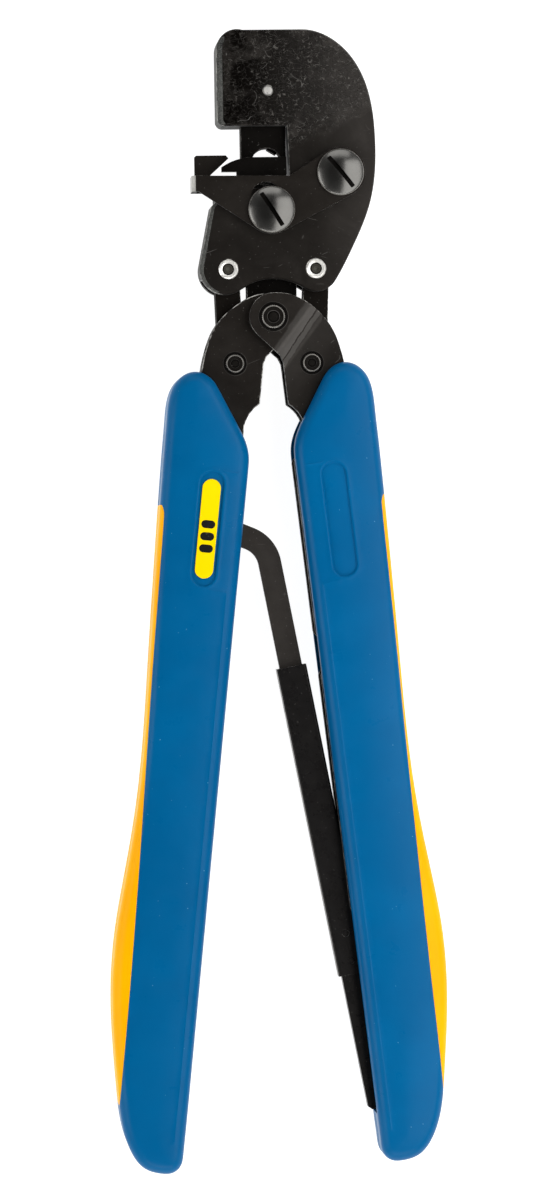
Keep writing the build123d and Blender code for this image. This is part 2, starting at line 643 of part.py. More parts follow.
for side, name in ((-1, "left"), (1, "right")):
    whole_grip = make_whole_grip(side)
    save(make_grip(side, whole_grip), f"{name}_grip")
    save(make_insert(side, whole_grip), f"{name}_grip_insert")

with BuildPart() as grip_label:
    with BuildSketch(grip_plane(-1, GRIP_DEPTH / 2 - 0.6)):
        with Locations(mirrored(-1, LABEL_AT)[0]):
            SlotOverall(28.7, 5.3, rotation=90)
    extrude(amount=0.2)
save(grip_label, "grip_label")


# ---- ratchet strut between the handles -------------------------------------------------------
INNER_W, INNER_D = SLEEVE_W - 2 * SLEEVE_WALL, SLEEVE_D - 2 * SLEEVE_WALL
BAR_INSIDE = 60.0                       # length of bar inside the sleeve
TOOTH_PITCH, TOOTH_DEPTH, TOOTH_COUNT = 2.0, 0.5, 22
PAWL_Y = -12.0                          # pawl pin, down from the sleeve's top
PAWL_PIN_R = 0.5
PAWL_PIN_Z = 1.35

with BuildPart() as ratchet_sleeve:
    with BuildSketch(strut_plane(-SLEEVE_D / 2)):
        with Locations((0, -SLEEVE_L / 2)):
            Rectangle(SLEEVE_W, SLEEVE_L)
    extrude(amount=SLEEVE_D)
    fillet(ratchet_sleeve.edges().filter_by(Axis(strut_plane().origin, strut_plane().y_dir)), 0.7)
    with BuildSketch(strut_plane(-INNER_D / 2)):
        with Locations((0, -SLEEVE_L / 2)):
            Rectangle(INNER_W, SLEEVE_L + 2)
    extrude(amount=INNER_D, mode=Mode.SUBTRACT)
    # pawl pin hole across the sleeve, and two rivet holes at the foot
    with BuildSketch(Plane(origin=strut_plane().from_local_coords(Vector(0, PAWL_Y, PAWL_PIN_Z)),
                           x_dir=strut_plane().y_dir, z_dir=strut_plane().x_dir)):
        Circle(PAWL_PIN_R + 0.02)
    extrude(amount=SLEEVE_W, both=True, mode=Mode.SUBTRACT)
    with BuildSketch(strut_plane(-SLEEVE_D)):
        with Locations((0, -SLEEVE_L + 4), (0, -SLEEVE_L + 12)):
            Circle(1.02)
    extrude(amount=2 * SLEEVE_D, mode=Mode.SUBTRACT)
save(ratchet_sleeve, "ratchet_sleeve")

LOWER_W = INNER_W - 0.1
LOWER_Z = INNER_D / 2 - 0.1
anchor_in_strut = tool_to_strut(handle_to_tool(1, ANCHOR))

with BuildPart() as strut_lower_bar:
    with BuildSketch(strut_plane(-LOWER_Z)):
        with BuildLine():
            Polyline((-LOWER_W / 2, -SLEEVE_L + 16), (LOWER_W / 2, -SLEEVE_L + 16),
                     (LOWER_W / 2, anchor_in_strut[1] + 12),
                     (anchor_in_strut[0] + 3.5, anchor_in_strut[1] + 3.6), anchor_in_strut,
                     (0, -130.8), (1.0 - LOWER_W / 2, -130.4), (-LOWER_W / 2, -129.4), close=True)
        make_face()
        with Locations(anchor_in_strut):
            Circle(5.0)
        with Locations(anchor_in_strut):
            Circle(2.0 + RUN_FIT, mode=Mode.SUBTRACT)
        with Locations((0, -SLEEVE_L + 4), (0, -SLEEVE_L + 12)):
            Circle(1.02, mode=Mode.SUBTRACT)
    extrude(amount=2 * LOWER_Z)
save(strut_lower_bar, "strut_lower_bar")

with BuildPart() as sleeve_rivets:
    for y in (-SLEEVE_L + 4, -SLEEVE_L + 12):
        with BuildSketch(strut_plane(-SLEEVE_D / 2 + 0.05)):
            with Locations((0, y)):
                Circle(1.0)
        extrude(amount=SLEEVE_D - 0.1)
save(sleeve_rivets, "sleeve_rivets")

with BuildPart() as strut_anchor_pin:
    reach = CHEEK_Z + CHEEK_T
    with BuildSketch(handle_plane(1, -reach)):
        with Locations(ANCHOR):
            Circle(2.0)
    extrude(amount=2 * reach)
save(strut_anchor_pin, "strut_anchor_pin")

bar_pivot = tool_to_strut(handle_to_tool(-1, BAR_PIVOT))
bend_corner = (0.0, 35.9)
with BuildPart() as ratchet_bar:
    with BuildSketch(strut_plane(BAR_BACK)):
        with BuildLine():
            FilletPolyline((0, -BAR_INSIDE), bend_corner, bar_pivot, radius=9.5)
        trace(line_width=BAR_W)
        with Locations(bar_pivot):
            Circle(4.0)
            Circle(1.77, mode=Mode.SUBTRACT)
    extrude(amount=BAR_FRONT - BAR_BACK)
    # saw teeth across the front face, inside the sleeve
    for tooth in range(TOOTH_COUNT):
        low = -58.0 + tooth * TOOTH_PITCH
        side_plane = Plane(origin=strut_plane().from_local_coords(Vector(0, low, 0)),
                           x_dir=strut_plane().y_dir, z_dir=strut_plane().x_dir)
        with BuildSketch(side_plane):
            with BuildLine():
                Polyline((0, BAR_FRONT + 0.1), (0, BAR_FRONT - TOOTH_DEPTH), (TOOTH_PITCH * 0.9, BAR_FRONT),
                         (TOOTH_PITCH * 0.9, BAR_FRONT + 0.1), close=True)
            make_face()
        extrude(amount=BAR_W, both=True, mode=Mode.SUBTRACT)
save(ratchet_bar, "ratchet_bar")

with BuildPart() as bar_end_pin:
    with BuildSketch(strut_plane(-CHEEK_Z + 0.3)):
        with Locations(bar_pivot):
            Circle(1.75)
    extrude(amount=2 * CHEEK_Z - 0.6)
save(bar_end_pin, "bar_end_pin")


# ---- pawl with its pin and leaf spring ----------------------------------------------------------
def strut_side(x, y):
    # a plane seen from the strut's side: first axis up the strut, second axis towards the front
    return Plane(origin=strut_plane().from_local_coords(Vector(x, y, 0)), x_dir=strut_plane().y_dir,
                 z_dir=strut_plane().x_dir)


PAWL_W = 4.8

with BuildPart() as ratchet_pawl:
    with BuildSketch(strut_side(-PAWL_W / 2, PAWL_Y)):
        with Locations((0, PAWL_PIN_Z)):
            Circle(0.85)
        with BuildLine():
            Polyline((0, PAWL_PIN_Z + 0.7), (-5.5, 1.2), (-6.4, 0.5), (-5.4, 0.5), (-4.6, 0.75),
                     (0, PAWL_PIN_Z - 0.7), close=True)
        make_face()
        with Locations((0, PAWL_PIN_Z)):
            Circle(PAWL_PIN_R + RUN_FIT, mode=Mode.SUBTRACT)
    extrude(amount=PAWL_W)
save(ratchet_pawl, "ratchet_pawl")

with BuildPart() as pawl_pin:
    with BuildSketch(strut_side(-SLEEVE_W / 2 + 0.05, PAWL_Y)):
        with Locations((0, PAWL_PIN_Z)):
            Circle(PAWL_PIN_R)
    extrude(amount=SLEEVE_W - 0.1)
save(pawl_pin, "pawl_pin")

with BuildPart() as pawl_spring:
    with BuildSketch(strut_side(-1.8, PAWL_Y)):
        with BuildLine():
            Polyline((-14.0, INNER_D / 2 - 0.02), (-3.0, INNER_D / 2 - 0.02), (-3.0, INNER_D / 2 - 0.22),
                     (-14.0, INNER_D / 2 - 0.22), close=True)
        make_face()
    extrude(amount=3.6)
save(pawl_spring, "pawl_spring")
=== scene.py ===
import bmesh
import bpy
import json
import math
import numpy as np
from mathutils import Matrix, Vector, geometry

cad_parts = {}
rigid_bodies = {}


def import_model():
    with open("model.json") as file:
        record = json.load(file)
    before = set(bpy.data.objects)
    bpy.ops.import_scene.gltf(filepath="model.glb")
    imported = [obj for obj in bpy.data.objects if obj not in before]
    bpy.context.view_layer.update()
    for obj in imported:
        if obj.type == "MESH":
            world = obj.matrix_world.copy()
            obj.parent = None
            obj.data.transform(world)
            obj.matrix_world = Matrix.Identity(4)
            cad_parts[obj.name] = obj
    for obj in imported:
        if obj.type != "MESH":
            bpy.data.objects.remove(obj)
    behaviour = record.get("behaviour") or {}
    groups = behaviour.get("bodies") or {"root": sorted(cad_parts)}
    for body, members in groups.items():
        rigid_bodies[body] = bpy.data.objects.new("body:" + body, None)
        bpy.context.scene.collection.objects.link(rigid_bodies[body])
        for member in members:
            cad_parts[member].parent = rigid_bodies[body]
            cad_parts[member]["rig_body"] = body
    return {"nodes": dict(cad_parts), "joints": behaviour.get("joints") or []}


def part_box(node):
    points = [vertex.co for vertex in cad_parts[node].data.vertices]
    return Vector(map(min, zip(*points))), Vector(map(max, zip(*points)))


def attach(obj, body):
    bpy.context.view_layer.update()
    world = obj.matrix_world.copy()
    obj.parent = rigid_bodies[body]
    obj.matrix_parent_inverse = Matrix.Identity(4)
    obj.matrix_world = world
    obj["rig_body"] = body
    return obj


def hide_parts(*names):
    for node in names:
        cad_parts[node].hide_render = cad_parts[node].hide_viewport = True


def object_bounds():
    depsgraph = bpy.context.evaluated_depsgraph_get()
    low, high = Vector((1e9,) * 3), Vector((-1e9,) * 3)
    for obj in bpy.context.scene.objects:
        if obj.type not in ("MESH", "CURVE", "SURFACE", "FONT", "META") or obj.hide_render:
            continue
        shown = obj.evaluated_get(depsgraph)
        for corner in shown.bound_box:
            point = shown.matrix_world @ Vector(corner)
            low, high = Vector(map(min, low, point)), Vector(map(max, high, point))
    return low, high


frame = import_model()
cad_low, cad_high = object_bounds()

MM = 0.001
NODES = frame["nodes"]
JOINT_AT = {j["name"]: Vector(j["pos_m"]) for j in frame["joints"] if "pos_m" in j}
PIVOT = JOINT_AT["right_handle_pivot"]
MID_Z = PIVOT.z
REST_ANGLE = math.radians(6.3)          # each handle leans this far off the tool's centre line

# places on the head, in millimetres from the main pivot
THROAT_WALL = 5.8                       # the throat's right wall
THROAT_TOP = 50.0                       # where the upper jaw's wrinkled skin begins
FRAME_PIN = (12.7, 13.9)                # the right one of the two bright pins


# ---- shader helper ----------------------------------------
class Shader:
    """One node material. Places are in the object's own metres, so a pattern moves with its body."""

    def __init__(self, name, **constants):
        self.material = bpy.data.materials.new(name)
        self.material.use_nodes = True
        self.tree = self.material.node_tree
        self.surface = self.tree.nodes["Principled BSDF"]
        self.place = self.tree.nodes.new("ShaderNodeTexCoord").outputs["Object"]
        for name_, value in constants.items():
            self.surface.inputs[name_.replace("_", " ")].default_value = value

    def add(self, kind, settings=None, **inputs):
        node = self.tree.nodes.new("ShaderNode" + kind)
        for key, value in (settings or {}).items():
            setattr(node, key, value)
        for key, value in inputs.items():
            self.feed(node.inputs[key.replace("_", " ")], value)
        return node

    def feed(self, socket, value):
        if isinstance(value, bpy.types.NodeSocket):
            self.tree.links.new(value, socket)
        else:
            socket.default_value = value

    def set(self, socket, value):
        self.feed(self.surface.inputs[socket], value)

    def noise(self, scale, detail=3.0, roughness=0.5, distortion=0.0, place=None):
        node = self.add("TexNoise", Vector=place or self.place, Scale=scale, Detail=detail,
                        Roughness=roughness, Distortion=distortion)
        return node.outputs["Fac"]

    def stretch(self, amounts, turn=0.0, shift=(0.0, 0.0, 0.0)):
        node = self.add("Mapping", Vector=self.place)
        node.inputs["Location"].default_value = shift
        node.inputs["Rotation"].default_value = (0.0, 0.0, math.radians(turn))
        node.inputs["Scale"].default_value = amounts
        return node.outputs["Vector"]

    def span(self, value, low, high, to_low=0.0, to_high=1.0):
        node = self.add("MapRange", {"clamp": True}, Value=value)
        limits = {"From Min": low, "From Max": high, "To Min": to_low, "To Max": to_high}
        for key, number in limits.items():
            node.inputs[key].default_value = number
        return node.outputs["Result"]

    def calc(self, operation, a, b=0.0):
        node = self.add("Math", {"operation": operation})
        self.feed(node.inputs[0], a)
        self.feed(node.inputs[1], b)
        return node.outputs[0]

    def blend(self, amount, a, b):
        node = self.add("Mix", {"data_type": "RGBA"})
        self.feed(node.inputs[0], amount)
        self.feed(node.inputs[6], a if isinstance(a, bpy.types.NodeSocket) else (*a, 1.0))
        self.feed(node.inputs[7], b if isinstance(b, bpy.types.NodeSocket) else (*b, 1.0))
        return node.outputs[2]

    def axis(self, name):
        node = self.add("SeparateXYZ", Vector=self.place)
        return node.outputs[name]

    def bump(self, height, depth, normal=None):
        node = self.add("Bump", Height=height, Strength=1.0, Distance=depth)
        if normal is not None:
            self.feed(node.inputs["Normal"], normal)
        return node.outputs["Normal"]

    def hairlines(self, scale, width, turn, squeeze, keep, distortion=6.0):
        """Fine broken scratches: the walls of long bent cells, kept only in patches."""
        stretched = self.stretch((squeeze, 1.0, 1.0), turn)
        wobble = self.add("TexNoise", Vector=stretched, Scale=scale * 0.7, Detail=2.0)
        bent = self.add("VectorMath", {"operation": "MULTIPLY_ADD"})
        self.feed(bent.inputs[0], wobble.outputs["Color"])
        bent.inputs[1].default_value = (distortion * MM,) * 3
        self.feed(bent.inputs[2], stretched)
        cells = self.add("TexVoronoi", {"feature": "DISTANCE_TO_EDGE"}, Vector=bent.outputs[0],
                         Scale=scale)
        line = self.span(cells.outputs["Distance"], 0.0, width, 1.0, 0.0)
        patches = self.span(self.noise(scale * 1.7, 2.0), keep, keep + 0.06)
        return self.calc("MULTIPLY", line, patches)


# ---- materials ----------------------------------------
BLACK = (0.0135, 0.0118, 0.0104)
BARE = (0.42, 0.405, 0.38)
# the pale grey of the rounded edges: partly wear and partly a painted highlight
WORN_AND_LIT_GREY = (0.66, 0.64, 0.60)


def black_oxide(name, dark=BLACK, pale=(0.0190, 0.0168, 0.0148), rough=(0.36, 0.52), scratch=0.30,
                seed=0.0, shine=0.13):
    """Blackened steel: mottled, with fine grain and a few broken hairline scratches."""
    s = Shader(name, Metallic=0.25, Specular_IOR_Level=shine, Specular_Tint=(1.0, 0.92, 0.85, 1.0))
    shifted = s.stretch((1.0, 1.0, 1.0), 0.0, (seed, 0.0, 0.0))
    mottle = s.noise(95.0, 5.0, 0.62, 0.4, shifted)
    grain = s.noise(2600.0, 2.0, 0.6)
    colour = s.blend(s.span(mottle, 0.36, 0.68), dark, pale)
    dust = s.span(s.noise(1500.0, 1.0, 0.5, 0.0, shifted), 0.735, 0.76)
    lines = s.hairlines(120.0, 0.006, 35.0 + 40.0 * seed, 0.35, 0.60)
    cross = s.hairlines(90.0, 0.005, -50.0 - 25.0 * seed, 0.30, 0.62)
    marks = s.calc("MULTIPLY", s.calc("MAXIMUM", lines, cross), scratch)
    colour = s.blend(s.calc("MAXIMUM", marks, s.calc("MULTIPLY", dust, 0.12)), colour, BARE)
    s.set("Base Color", colour)
    s.set("Roughness", s.span(s.noise(300.0, 4.0, 0.6), 0.3, 0.7, *rough))
    s.set("Normal", s.bump(grain, 0.012 * MM))
    return s


def worn_and_lit_edge(name, amount):
    """The rounded edge of a blackened piece: pale grey in patches, partly bare steel worn through and partly
    a painted highlight along the edge.
    """
    s = Shader(name, Specular_IOR_Level=0.3)
    patches = s.span(s.noise(260.0, 6.0, 0.7, 0.6), 0.62 - 0.3 * amount, 0.80 - 0.3 * amount)
    # partly wear and partly painted highlight: the edges are coloured pale grey and only slightly metallic,
    # so they show bright whatever the light's direction
    s.set("Base Color", s.blend(patches, BLACK, WORN_AND_LIT_GREY))
    s.set("Metallic", s.span(patches, 0.0, 1.0, 0.25, 0.35))
    s.set("Roughness", s.span(s.noise(900.0, 3.0), 0.3, 0.7, 0.28, 0.45))
    s.set("Normal", s.bump(s.noise(1800.0, 3.0), 0.012 * MM))
    return s


def milled_side(name, pale, dark):
    """The cut side of a thick plate: speckled and streaked along the cut between a pale and a dark tone; the
    pale copy is painted light, for the sides that face the light.
    """
    s = Shader(name, Metallic=0.1, Specular_IOR_Level=0.15)
    streaks = s.noise(240.0, 4.0, 0.7, 0.0, s.stretch((1.0, 0.25, 3.0)))
    speckle = s.span(s.noise(2300.0, 3.0, 0.7), 0.44, 0.62)
    colour = s.blend(s.span(streaks, 0.34, 0.66), dark, pale)
    s.set("Base Color", s.blend(s.calc("MULTIPLY", speckle, 0.35), colour, (0.20, 0.20, 0.19)))
    s.set("Roughness", s.span(s.noise(700.0, 4.0), 0.3, 0.7, 0.5, 0.7))
    s.set("Normal", s.bump(s.noise(1300.0, 4.0, 0.7), 0.02 * MM))
    return s


def polished(name, colour, rough, metallic=1.0, grain=0.004, even=0.72, shine=0.5):
    """Bright or blackened turned metal with faint variation."""
    s = Shader(name, Metallic=metallic, Specular_IOR_Level=shine)
    tone = s.noise(420.0, 4.0, 0.6)
    darker = tuple(even * c for c in colour)
    s.set("Base Color", s.blend(s.span(tone, 0.35, 0.7), darker, colour))
    s.set("Roughness", s.span(s.noise(650.0, 3.0), 0.3, 0.7, rough * even, rough / even))
    s.set("Normal", s.bump(s.noise(2400.0, 2.0), grain * MM))
    return s


def moulded(name, colour, lighter, rough, speckle=(0.25, 0.6, 0.8), shine=0.06):
    """Satin moulded plastic: cloudy, with a fine sparked grain and a few specks of dust."""
    s = Shader(name, Specular_IOR_Level=shine)
    cloud = s.noise(42.0, 4.0, 0.55, 0.3)
    base = s.blend(s.span(cloud, 0.36, 0.66), colour, lighter)
    specks = s.span(s.noise(1400.0, 1.0, 0.4), 0.80, 0.82)
    s.set("Base Color", s.blend(s.calc("MULTIPLY", specks, 0.5), base, speckle))
    s.set("Roughness", s.span(s.noise(160.0, 4.0, 0.6), 0.3, 0.7, rough - 0.05, rough + 0.08))
    fine = s.bump(s.noise(2100.0, 3.0, 0.6), 0.016 * MM)
    s.set("Normal", s.bump(s.noise(260.0, 2.0), 0.03 * MM, fine))
    return s


def head_black():
    """The head's plate: a wrinkled, scratched skin on the upper jaw, smoother below the throat. Painted
    light: the plate is coloured lighter towards the right, and its crackle lines are coloured pale as
    painted highlights on the ridges.
    """
    s = black_oxide("head_black", seed=0.3, scratch=0.22)
    throat = PIVOT + Vector((THROAT_WALL, THROAT_TOP, 0.0)) * MM
    x = s.calc("SUBTRACT", s.axis("X"), throat.x)
    y = s.calc("SUBTRACT", s.axis("Y"), throat.y)
    rise = s.calc("SUBTRACT", y, s.calc("MULTIPLY", x, 0.45))
    wavy = s.calc("ADD", rise, s.calc("MULTIPLY", s.noise(150.0, 3.0), 5.0 * MM))
    upper = s.span(wavy, 0.5 * MM, 5.0 * MM)
    dense = s.calc("MULTIPLY", upper, s.span(x, -14.0 * MM, 4.0 * MM, 0.22, 1.0))
    wrinkle = s.noise(520.0, 5.0, 0.66, 2.0)
    crackle = s.hairlines(620.0, 0.06, 12.0, 0.85, 0.34, 5.0)
    flakes = s.span(s.noise(900.0, 3.0, 0.6), 0.50, 0.62)
    curls = s.hairlines(150.0, 0.011, 20.0, 0.8, 0.56, 14.0)
    blotch = s.span(s.noise(85.0, 4.0, 0.6, 0.8), 0.36, 0.50)
    plain = s.surface.inputs["Base Color"].links[0].from_socket
    dim = s.blend(s.calc("MULTIPLY", upper, blotch), plain, (0.0012, 0.0008, 0.0005))
    # painted highlight: the crackle lines are coloured pale where the wrinkled skin's ridges catch the light
    crackle_glint = s.calc("MULTIPLY", dense, s.calc("MULTIPLY", crackle, s.calc("ADD", flakes, 0.3)))
    # painted light: the plate is coloured lighter towards the right, where more light falls
    lit_to_right = s.blend(s.span(x, 6.0 * MM, 22.0 * MM, 0.0, 0.75), dim, (0.038, 0.034, 0.031))
    skin = s.blend(crackle_glint, lit_to_right, (0.19, 0.18, 0.165))
    curled = s.calc("MULTIPLY", s.calc("MULTIPLY", upper, curls), 0.5)
    s.set("Base Color", s.blend(curled, skin, (0.34, 0.33, 0.31)))
    grain = s.surface.inputs["Normal"].links[0].from_socket
    relief = s.calc("MULTIPLY", dense, s.calc("ADD", crackle, s.calc("MULTIPLY", wrinkle, 1.5)))
    s.set("Normal", s.bump(relief, 0.3 * MM, grain))
    rough = s.surface.inputs["Roughness"].links[0].from_socket
    s.set("Roughness", s.calc("SUBTRACT", rough, s.calc("MULTIPLY", upper, 0.10)))
    shine = s.span(blotch, 0.0, 1.0, 0.13, 0.02)
    s.set("Specular IOR Level", s.calc("ADD", s.calc("MULTIPLY", dense, 0.28), shine))
    return s


JOGGLE_ACROSS = (0.823, -0.568)         # the way across the cheek's joggle


def cheek_black():
    """The joggled cheek: coloured pale up the joggle's incline as painted light, with a line at its foot and
    another pale stripe beyond it, a painted highlight where the fold bends.
    """
    s = black_oxide("cheek_black", (0.0135, 0.0115, 0.0100), (0.0215, 0.0188, 0.0165), (0.34, 0.48),
                    0.2, 2.9)
    x = s.calc("MULTIPLY", s.calc("SUBTRACT", s.axis("X"), PIVOT.x), JOGGLE_ACROSS[0])
    y = s.calc("MULTIPLY", s.calc("SUBTRACT", s.axis("Y"), PIVOT.y), JOGGLE_ACROSS[1])
    uneven = s.span(s.noise(420.0, 4.0, 0.6), 0.3, 0.7, -0.22 * MM, 0.22 * MM)
    along = s.calc("ADD", s.calc("ADD", x, y), uneven)

    def stripe(low, high, soft_low, soft_high):
        rise = s.span(along, low * MM, (low + soft_low) * MM)
        return s.calc("MULTIPLY", rise, s.span(along, (high - soft_high) * MM, high * MM, 1.0, 0.0))

    # painted light: the incline is coloured paler along its rise, the narrow stripe at the fold's foot is a
    # painted highlight, and a faint pale band lies further on
    paler = s.span(along, 5.0 * MM, 8.9 * MM, 0.35, 0.85)
    lit_incline = s.calc("MULTIPLY", stripe(5.0, 9.15, 0.5, 0.1), paler)
    bend_highlight = s.calc("MULTIPLY", stripe(9.4, 11.1, 0.15, 0.45), 0.62)
    below = s.calc("MULTIPLY", stripe(10.9, 20.0, 0.3, 8.0), 0.16)
    pale = s.calc("MAXIMUM", lit_incline, s.calc("MAXIMUM", bend_highlight, below))
    front = s.span(s.axis("Z"), MID_Z + 5.0 * MM, MID_Z + 6.0 * MM)
    plain = s.surface.inputs["Base Color"].links[0].from_socket
    s.set("Base Color", s.blend(s.calc("MULTIPLY", pale, front), plain, (0.082, 0.077, 0.072)))
    return s


# dark and pale tone, roughness, scratches, seed and shine of each blackened steel
BLACK_STEELS = {
    "plate": ((0.0118, 0.0098, 0.0082), (0.0180, 0.0155, 0.0134), (0.34, 0.46), 0.2, 0.7, 0.13),
    "die": ((0.0026, 0.0023, 0.0021), (0.0052, 0.0046, 0.0040), (0.34, 0.46), 0.12, 1.1, 0.08),
    "ram": ((0.0022, 0.0019, 0.0017), (0.0045, 0.0040, 0.0035), (0.4, 0.55), 0.15, 1.7, 0.06),
    "link": ((0.0065, 0.0052, 0.0042), (0.0110, 0.0090, 0.0074), (0.38, 0.52), 0.2, 2.3, 0.08),
    "channel": ((0.0115, 0.0096, 0.0082), (0.0180, 0.0155, 0.0135), (0.34, 0.48), 0.2, 2.9, 0.13),
    "bar": ((0.0260, 0.0225, 0.0200), (0.0360, 0.0318, 0.0285), (0.34, 0.46), 0.12, 3.7, 0.3),
    "sleeve": ((0.0075, 0.0070, 0.0072), (0.0105, 0.0100, 0.0100), (0.24, 0.34), 0.06, 4.3, 0.2),
    "ink": ((0.008, 0.008, 0.008), (0.013, 0.013, 0.013), (0.4, 0.5), 0.0, 5.1, 0.13),
    # near-black and matte: for side faces out of sight, and painted shade in the screws' slots and the pins'
    # grooves
    "hidden": ((0.0030, 0.0027, 0.0024), (0.0055, 0.0050, 0.0045), (0.6, 0.8), 0.05, 6.1, 0.05),
    # painted highlight: a paler grey on the outer wall of a pin face's groove and on the raised outer edge
    # of the dark ring around a pin
    "ring_highlight": ((0.030, 0.028, 0.026), (0.062, 0.058, 0.054), (0.34, 0.46), 0.3, 0.9, 0.13),
}
MATERIALS = {word: black_oxide(word + "_black", *tones) for word, tones in BLACK_STEELS.items()}
MATERIALS |= {
    "head": head_black(),
    "cheek": cheek_black(),
    "edge": worn_and_lit_edge("worn_and_lit_edge", 0.62),
    "edge_faint": worn_and_lit_edge("worn_edge_faint", 0.34),
    # painted light: the pale copy is for the C-frame's left-facing sides, where the light falls; the dark
    # copy is for the other cut sides
    "side": milled_side("milled_side", (0.075, 0.077, 0.070), (0.020, 0.020, 0.019)),
    "side_dark": milled_side("milled_side_dark", (0.015, 0.014, 0.0125), (0.006, 0.0055, 0.005)),
    "bright": polished("ground_steel", (0.78, 0.76, 0.72), 0.30, 0.4),
    "nickel": polished("nickel_plate", (0.95, 0.93, 0.88), 0.2, 0.3),
    "socket": polished("socket_grey", (0.060, 0.056, 0.046), 0.45, 0.5, shine=0.1),
    "hexagon": polished("socket_floor", (0.14, 0.135, 0.115), 0.4, 0.5, shine=0.1),
    "spring": polished("spring_steel", (0.36, 0.36, 0.35), 0.32),
    "pin": polished("pin_black", (0.0100, 0.0086, 0.0072), 0.42, 0.3, shine=0.08),
    "rim": polished("pin_rim", (0.30, 0.285, 0.26), 0.36, 0.4),
    "screw": polished("screw_black", (0.125, 0.122, 0.115), 0.24, 0.95, 0.0, even=0.92),
    "tab": polished("pale_tab_grey", (0.46, 0.45, 0.42), 0.4, 0.3),
    "blue": moulded("grip_blue", (0.0, 0.100, 0.262), (0.0, 0.113, 0.290), 0.31, shine=0.08),
    "amber": moulded("grip_amber", (1.0, 0.42, 0.0), (1.0, 0.47, 0.0), 0.38, (1.0, 0.7, 0.2)),
    "label": moulded("label_yellow", (1.0, 0.70, 0.0), (1.0, 0.74, 0.0), 0.34, (1.0, 0.9, 0.3)),
}


def use(mesh, *names):
    mesh.materials.clear()
    for name in names:
        mesh.materials.append(MATERIALS[name].material)


# ---- finishing a packed steel piece ----------------------------------------
def link(name, mesh):
    piece = bpy.data.objects.new(name, mesh)
    bpy.context.scene.collection.objects.link(piece)
    return piece


def stand_for(piece, *nodes):
    """The piece rides where its CAD nodes do and is shown in their place."""
    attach(piece, NODES[nodes[0]]["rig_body"])
    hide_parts(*nodes)
    return piece


SMOOTH, BEND, SHARP = 28.0, 30.0, 48.0  # degrees across an edge that is shaded soft, a bend or a corner
MERGE, SLIVER = 0.002, 0.001            # gaps that are closed and edges that are dropped
FLAT = 0.6                              # degrees between faces that count as one


def finish_steel(node, face, edge="edge", side=None, width=0.25, segments=2, bends=None,
                 special=None, pick=None, reshape=None):
    """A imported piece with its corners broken: faces, rounded edges and cut sides get their own finish.
    Widths are in millimetres; bends is the radius that the piece's folds are eased to."""
    mesh = NODES[node].data.copy()
    mesh.name = node + "_finished"
    use(mesh, face, edge, side or face, special or face)
    bm = bmesh.new()
    bm.from_mesh(mesh)
    bmesh.ops.remove_doubles(bm, verts=bm.verts, dist=MERGE * MM)
    bmesh.ops.dissolve_degenerate(bm, edges=bm.edges, dist=SLIVER * MM)
    bmesh.ops.dissolve_limit(bm, angle_limit=math.radians(FLAT), verts=bm.verts, edges=bm.edges)
    bm.normal_update()
    for f in bm.faces:
        f.material_index = 2 if abs(f.normal.z) < 0.3 else 0
        if pick and pick(f.normal, (f.calc_center_median() - PIVOT) / MM):
            f.material_index = 3
    if reshape:
        for v in bm.verts:
            v.co.x += reshape((v.co - PIVOT) / MM) * MM

    def between(low, high):
        found = [e for e in bm.edges if len(e.link_faces) == 2]
        return [e for e in found if low <= math.degrees(e.calc_face_angle()) < high]

    # the bevel is made in millimetres
    bmesh.ops.scale(bm, vec=Vector((1, 1, 1)) / MM, verts=bm.verts)
    if bends:
        bmesh.ops.bevel(bm, geom=between(BEND, SHARP), offset=bends, segments=4, profile=0.5,
                        affect="EDGES", clamp_overlap=True, material=-1)
        bm.normal_update()
    bmesh.ops.bevel(bm, geom=between(SHARP, 181.0), offset=width, segments=segments, profile=0.5,
                    affect="EDGES", clamp_overlap=True, material=1)
    bmesh.ops.scale(bm, vec=Vector((1, 1, 1)) * MM, verts=bm.verts)
    bm.normal_update()
    for f in bm.faces:
        f.smooth = abs(f.normal.z) < 0.9999
    bm.to_mesh(mesh)
    bm.free()
    piece = link(node + "_finished", mesh)
    piece.data.set_sharp_from_angle(angle=math.radians(SMOOTH))
    weighted = piece.modifiers.new("weighted", "WEIGHTED_NORMAL")
    weighted.keep_sharp = True
    return stand_for(piece, node)


HEAD_FRONT = 6.4                        # just behind the head plate's front face, above the middle
LEFT_EDGE, LEFT_BLEND = -12.6, 1.6      # the broad chamfer starts here and is full this much further
THROAT_SPAN = (37.0, 55.5)              # the throat's wall runs between these
WALL_FOOT = 41.0                        # below this the wall stays clear of the ram's shoulder


def lit_left_faces(normal, at):
    """The C-frame's left side with its chamfer, on the jaw and on the lobe below it. These faces face the
    light and take the pale side finish as painted light.
    """
    return normal.x < -0.25 and normal.z < 0.9 and at.x < LEFT_EDGE - 0.8


def broad_chamfer(at):
    """How far the front face's left edge stands back, on the jaw and on the lobe. The throat's wall
    stands a little nearer the dies, above its foot."""
    if abs(at.x - THROAT_WALL) < 0.02 and THROAT_SPAN[0] < at.y < THROAT_SPAN[1]:
        return -0.75 if at.y > WALL_FOOT else -0.1
    if at.z < HEAD_FRONT or at.x > LEFT_EDGE:
        return 0.0
    wide = 1.3 if at.y > THROAT_TOP else 0.7
    return wide * min(1.0, (LEFT_EDGE - at.x) / LEFT_BLEND)


def tab_end(normal, at):
    """The locator's bent left end: its left-facing faces, which take a pale grey finish."""
    return normal.x < -0.2 and at.x < -20.8 and at.y < 41.0


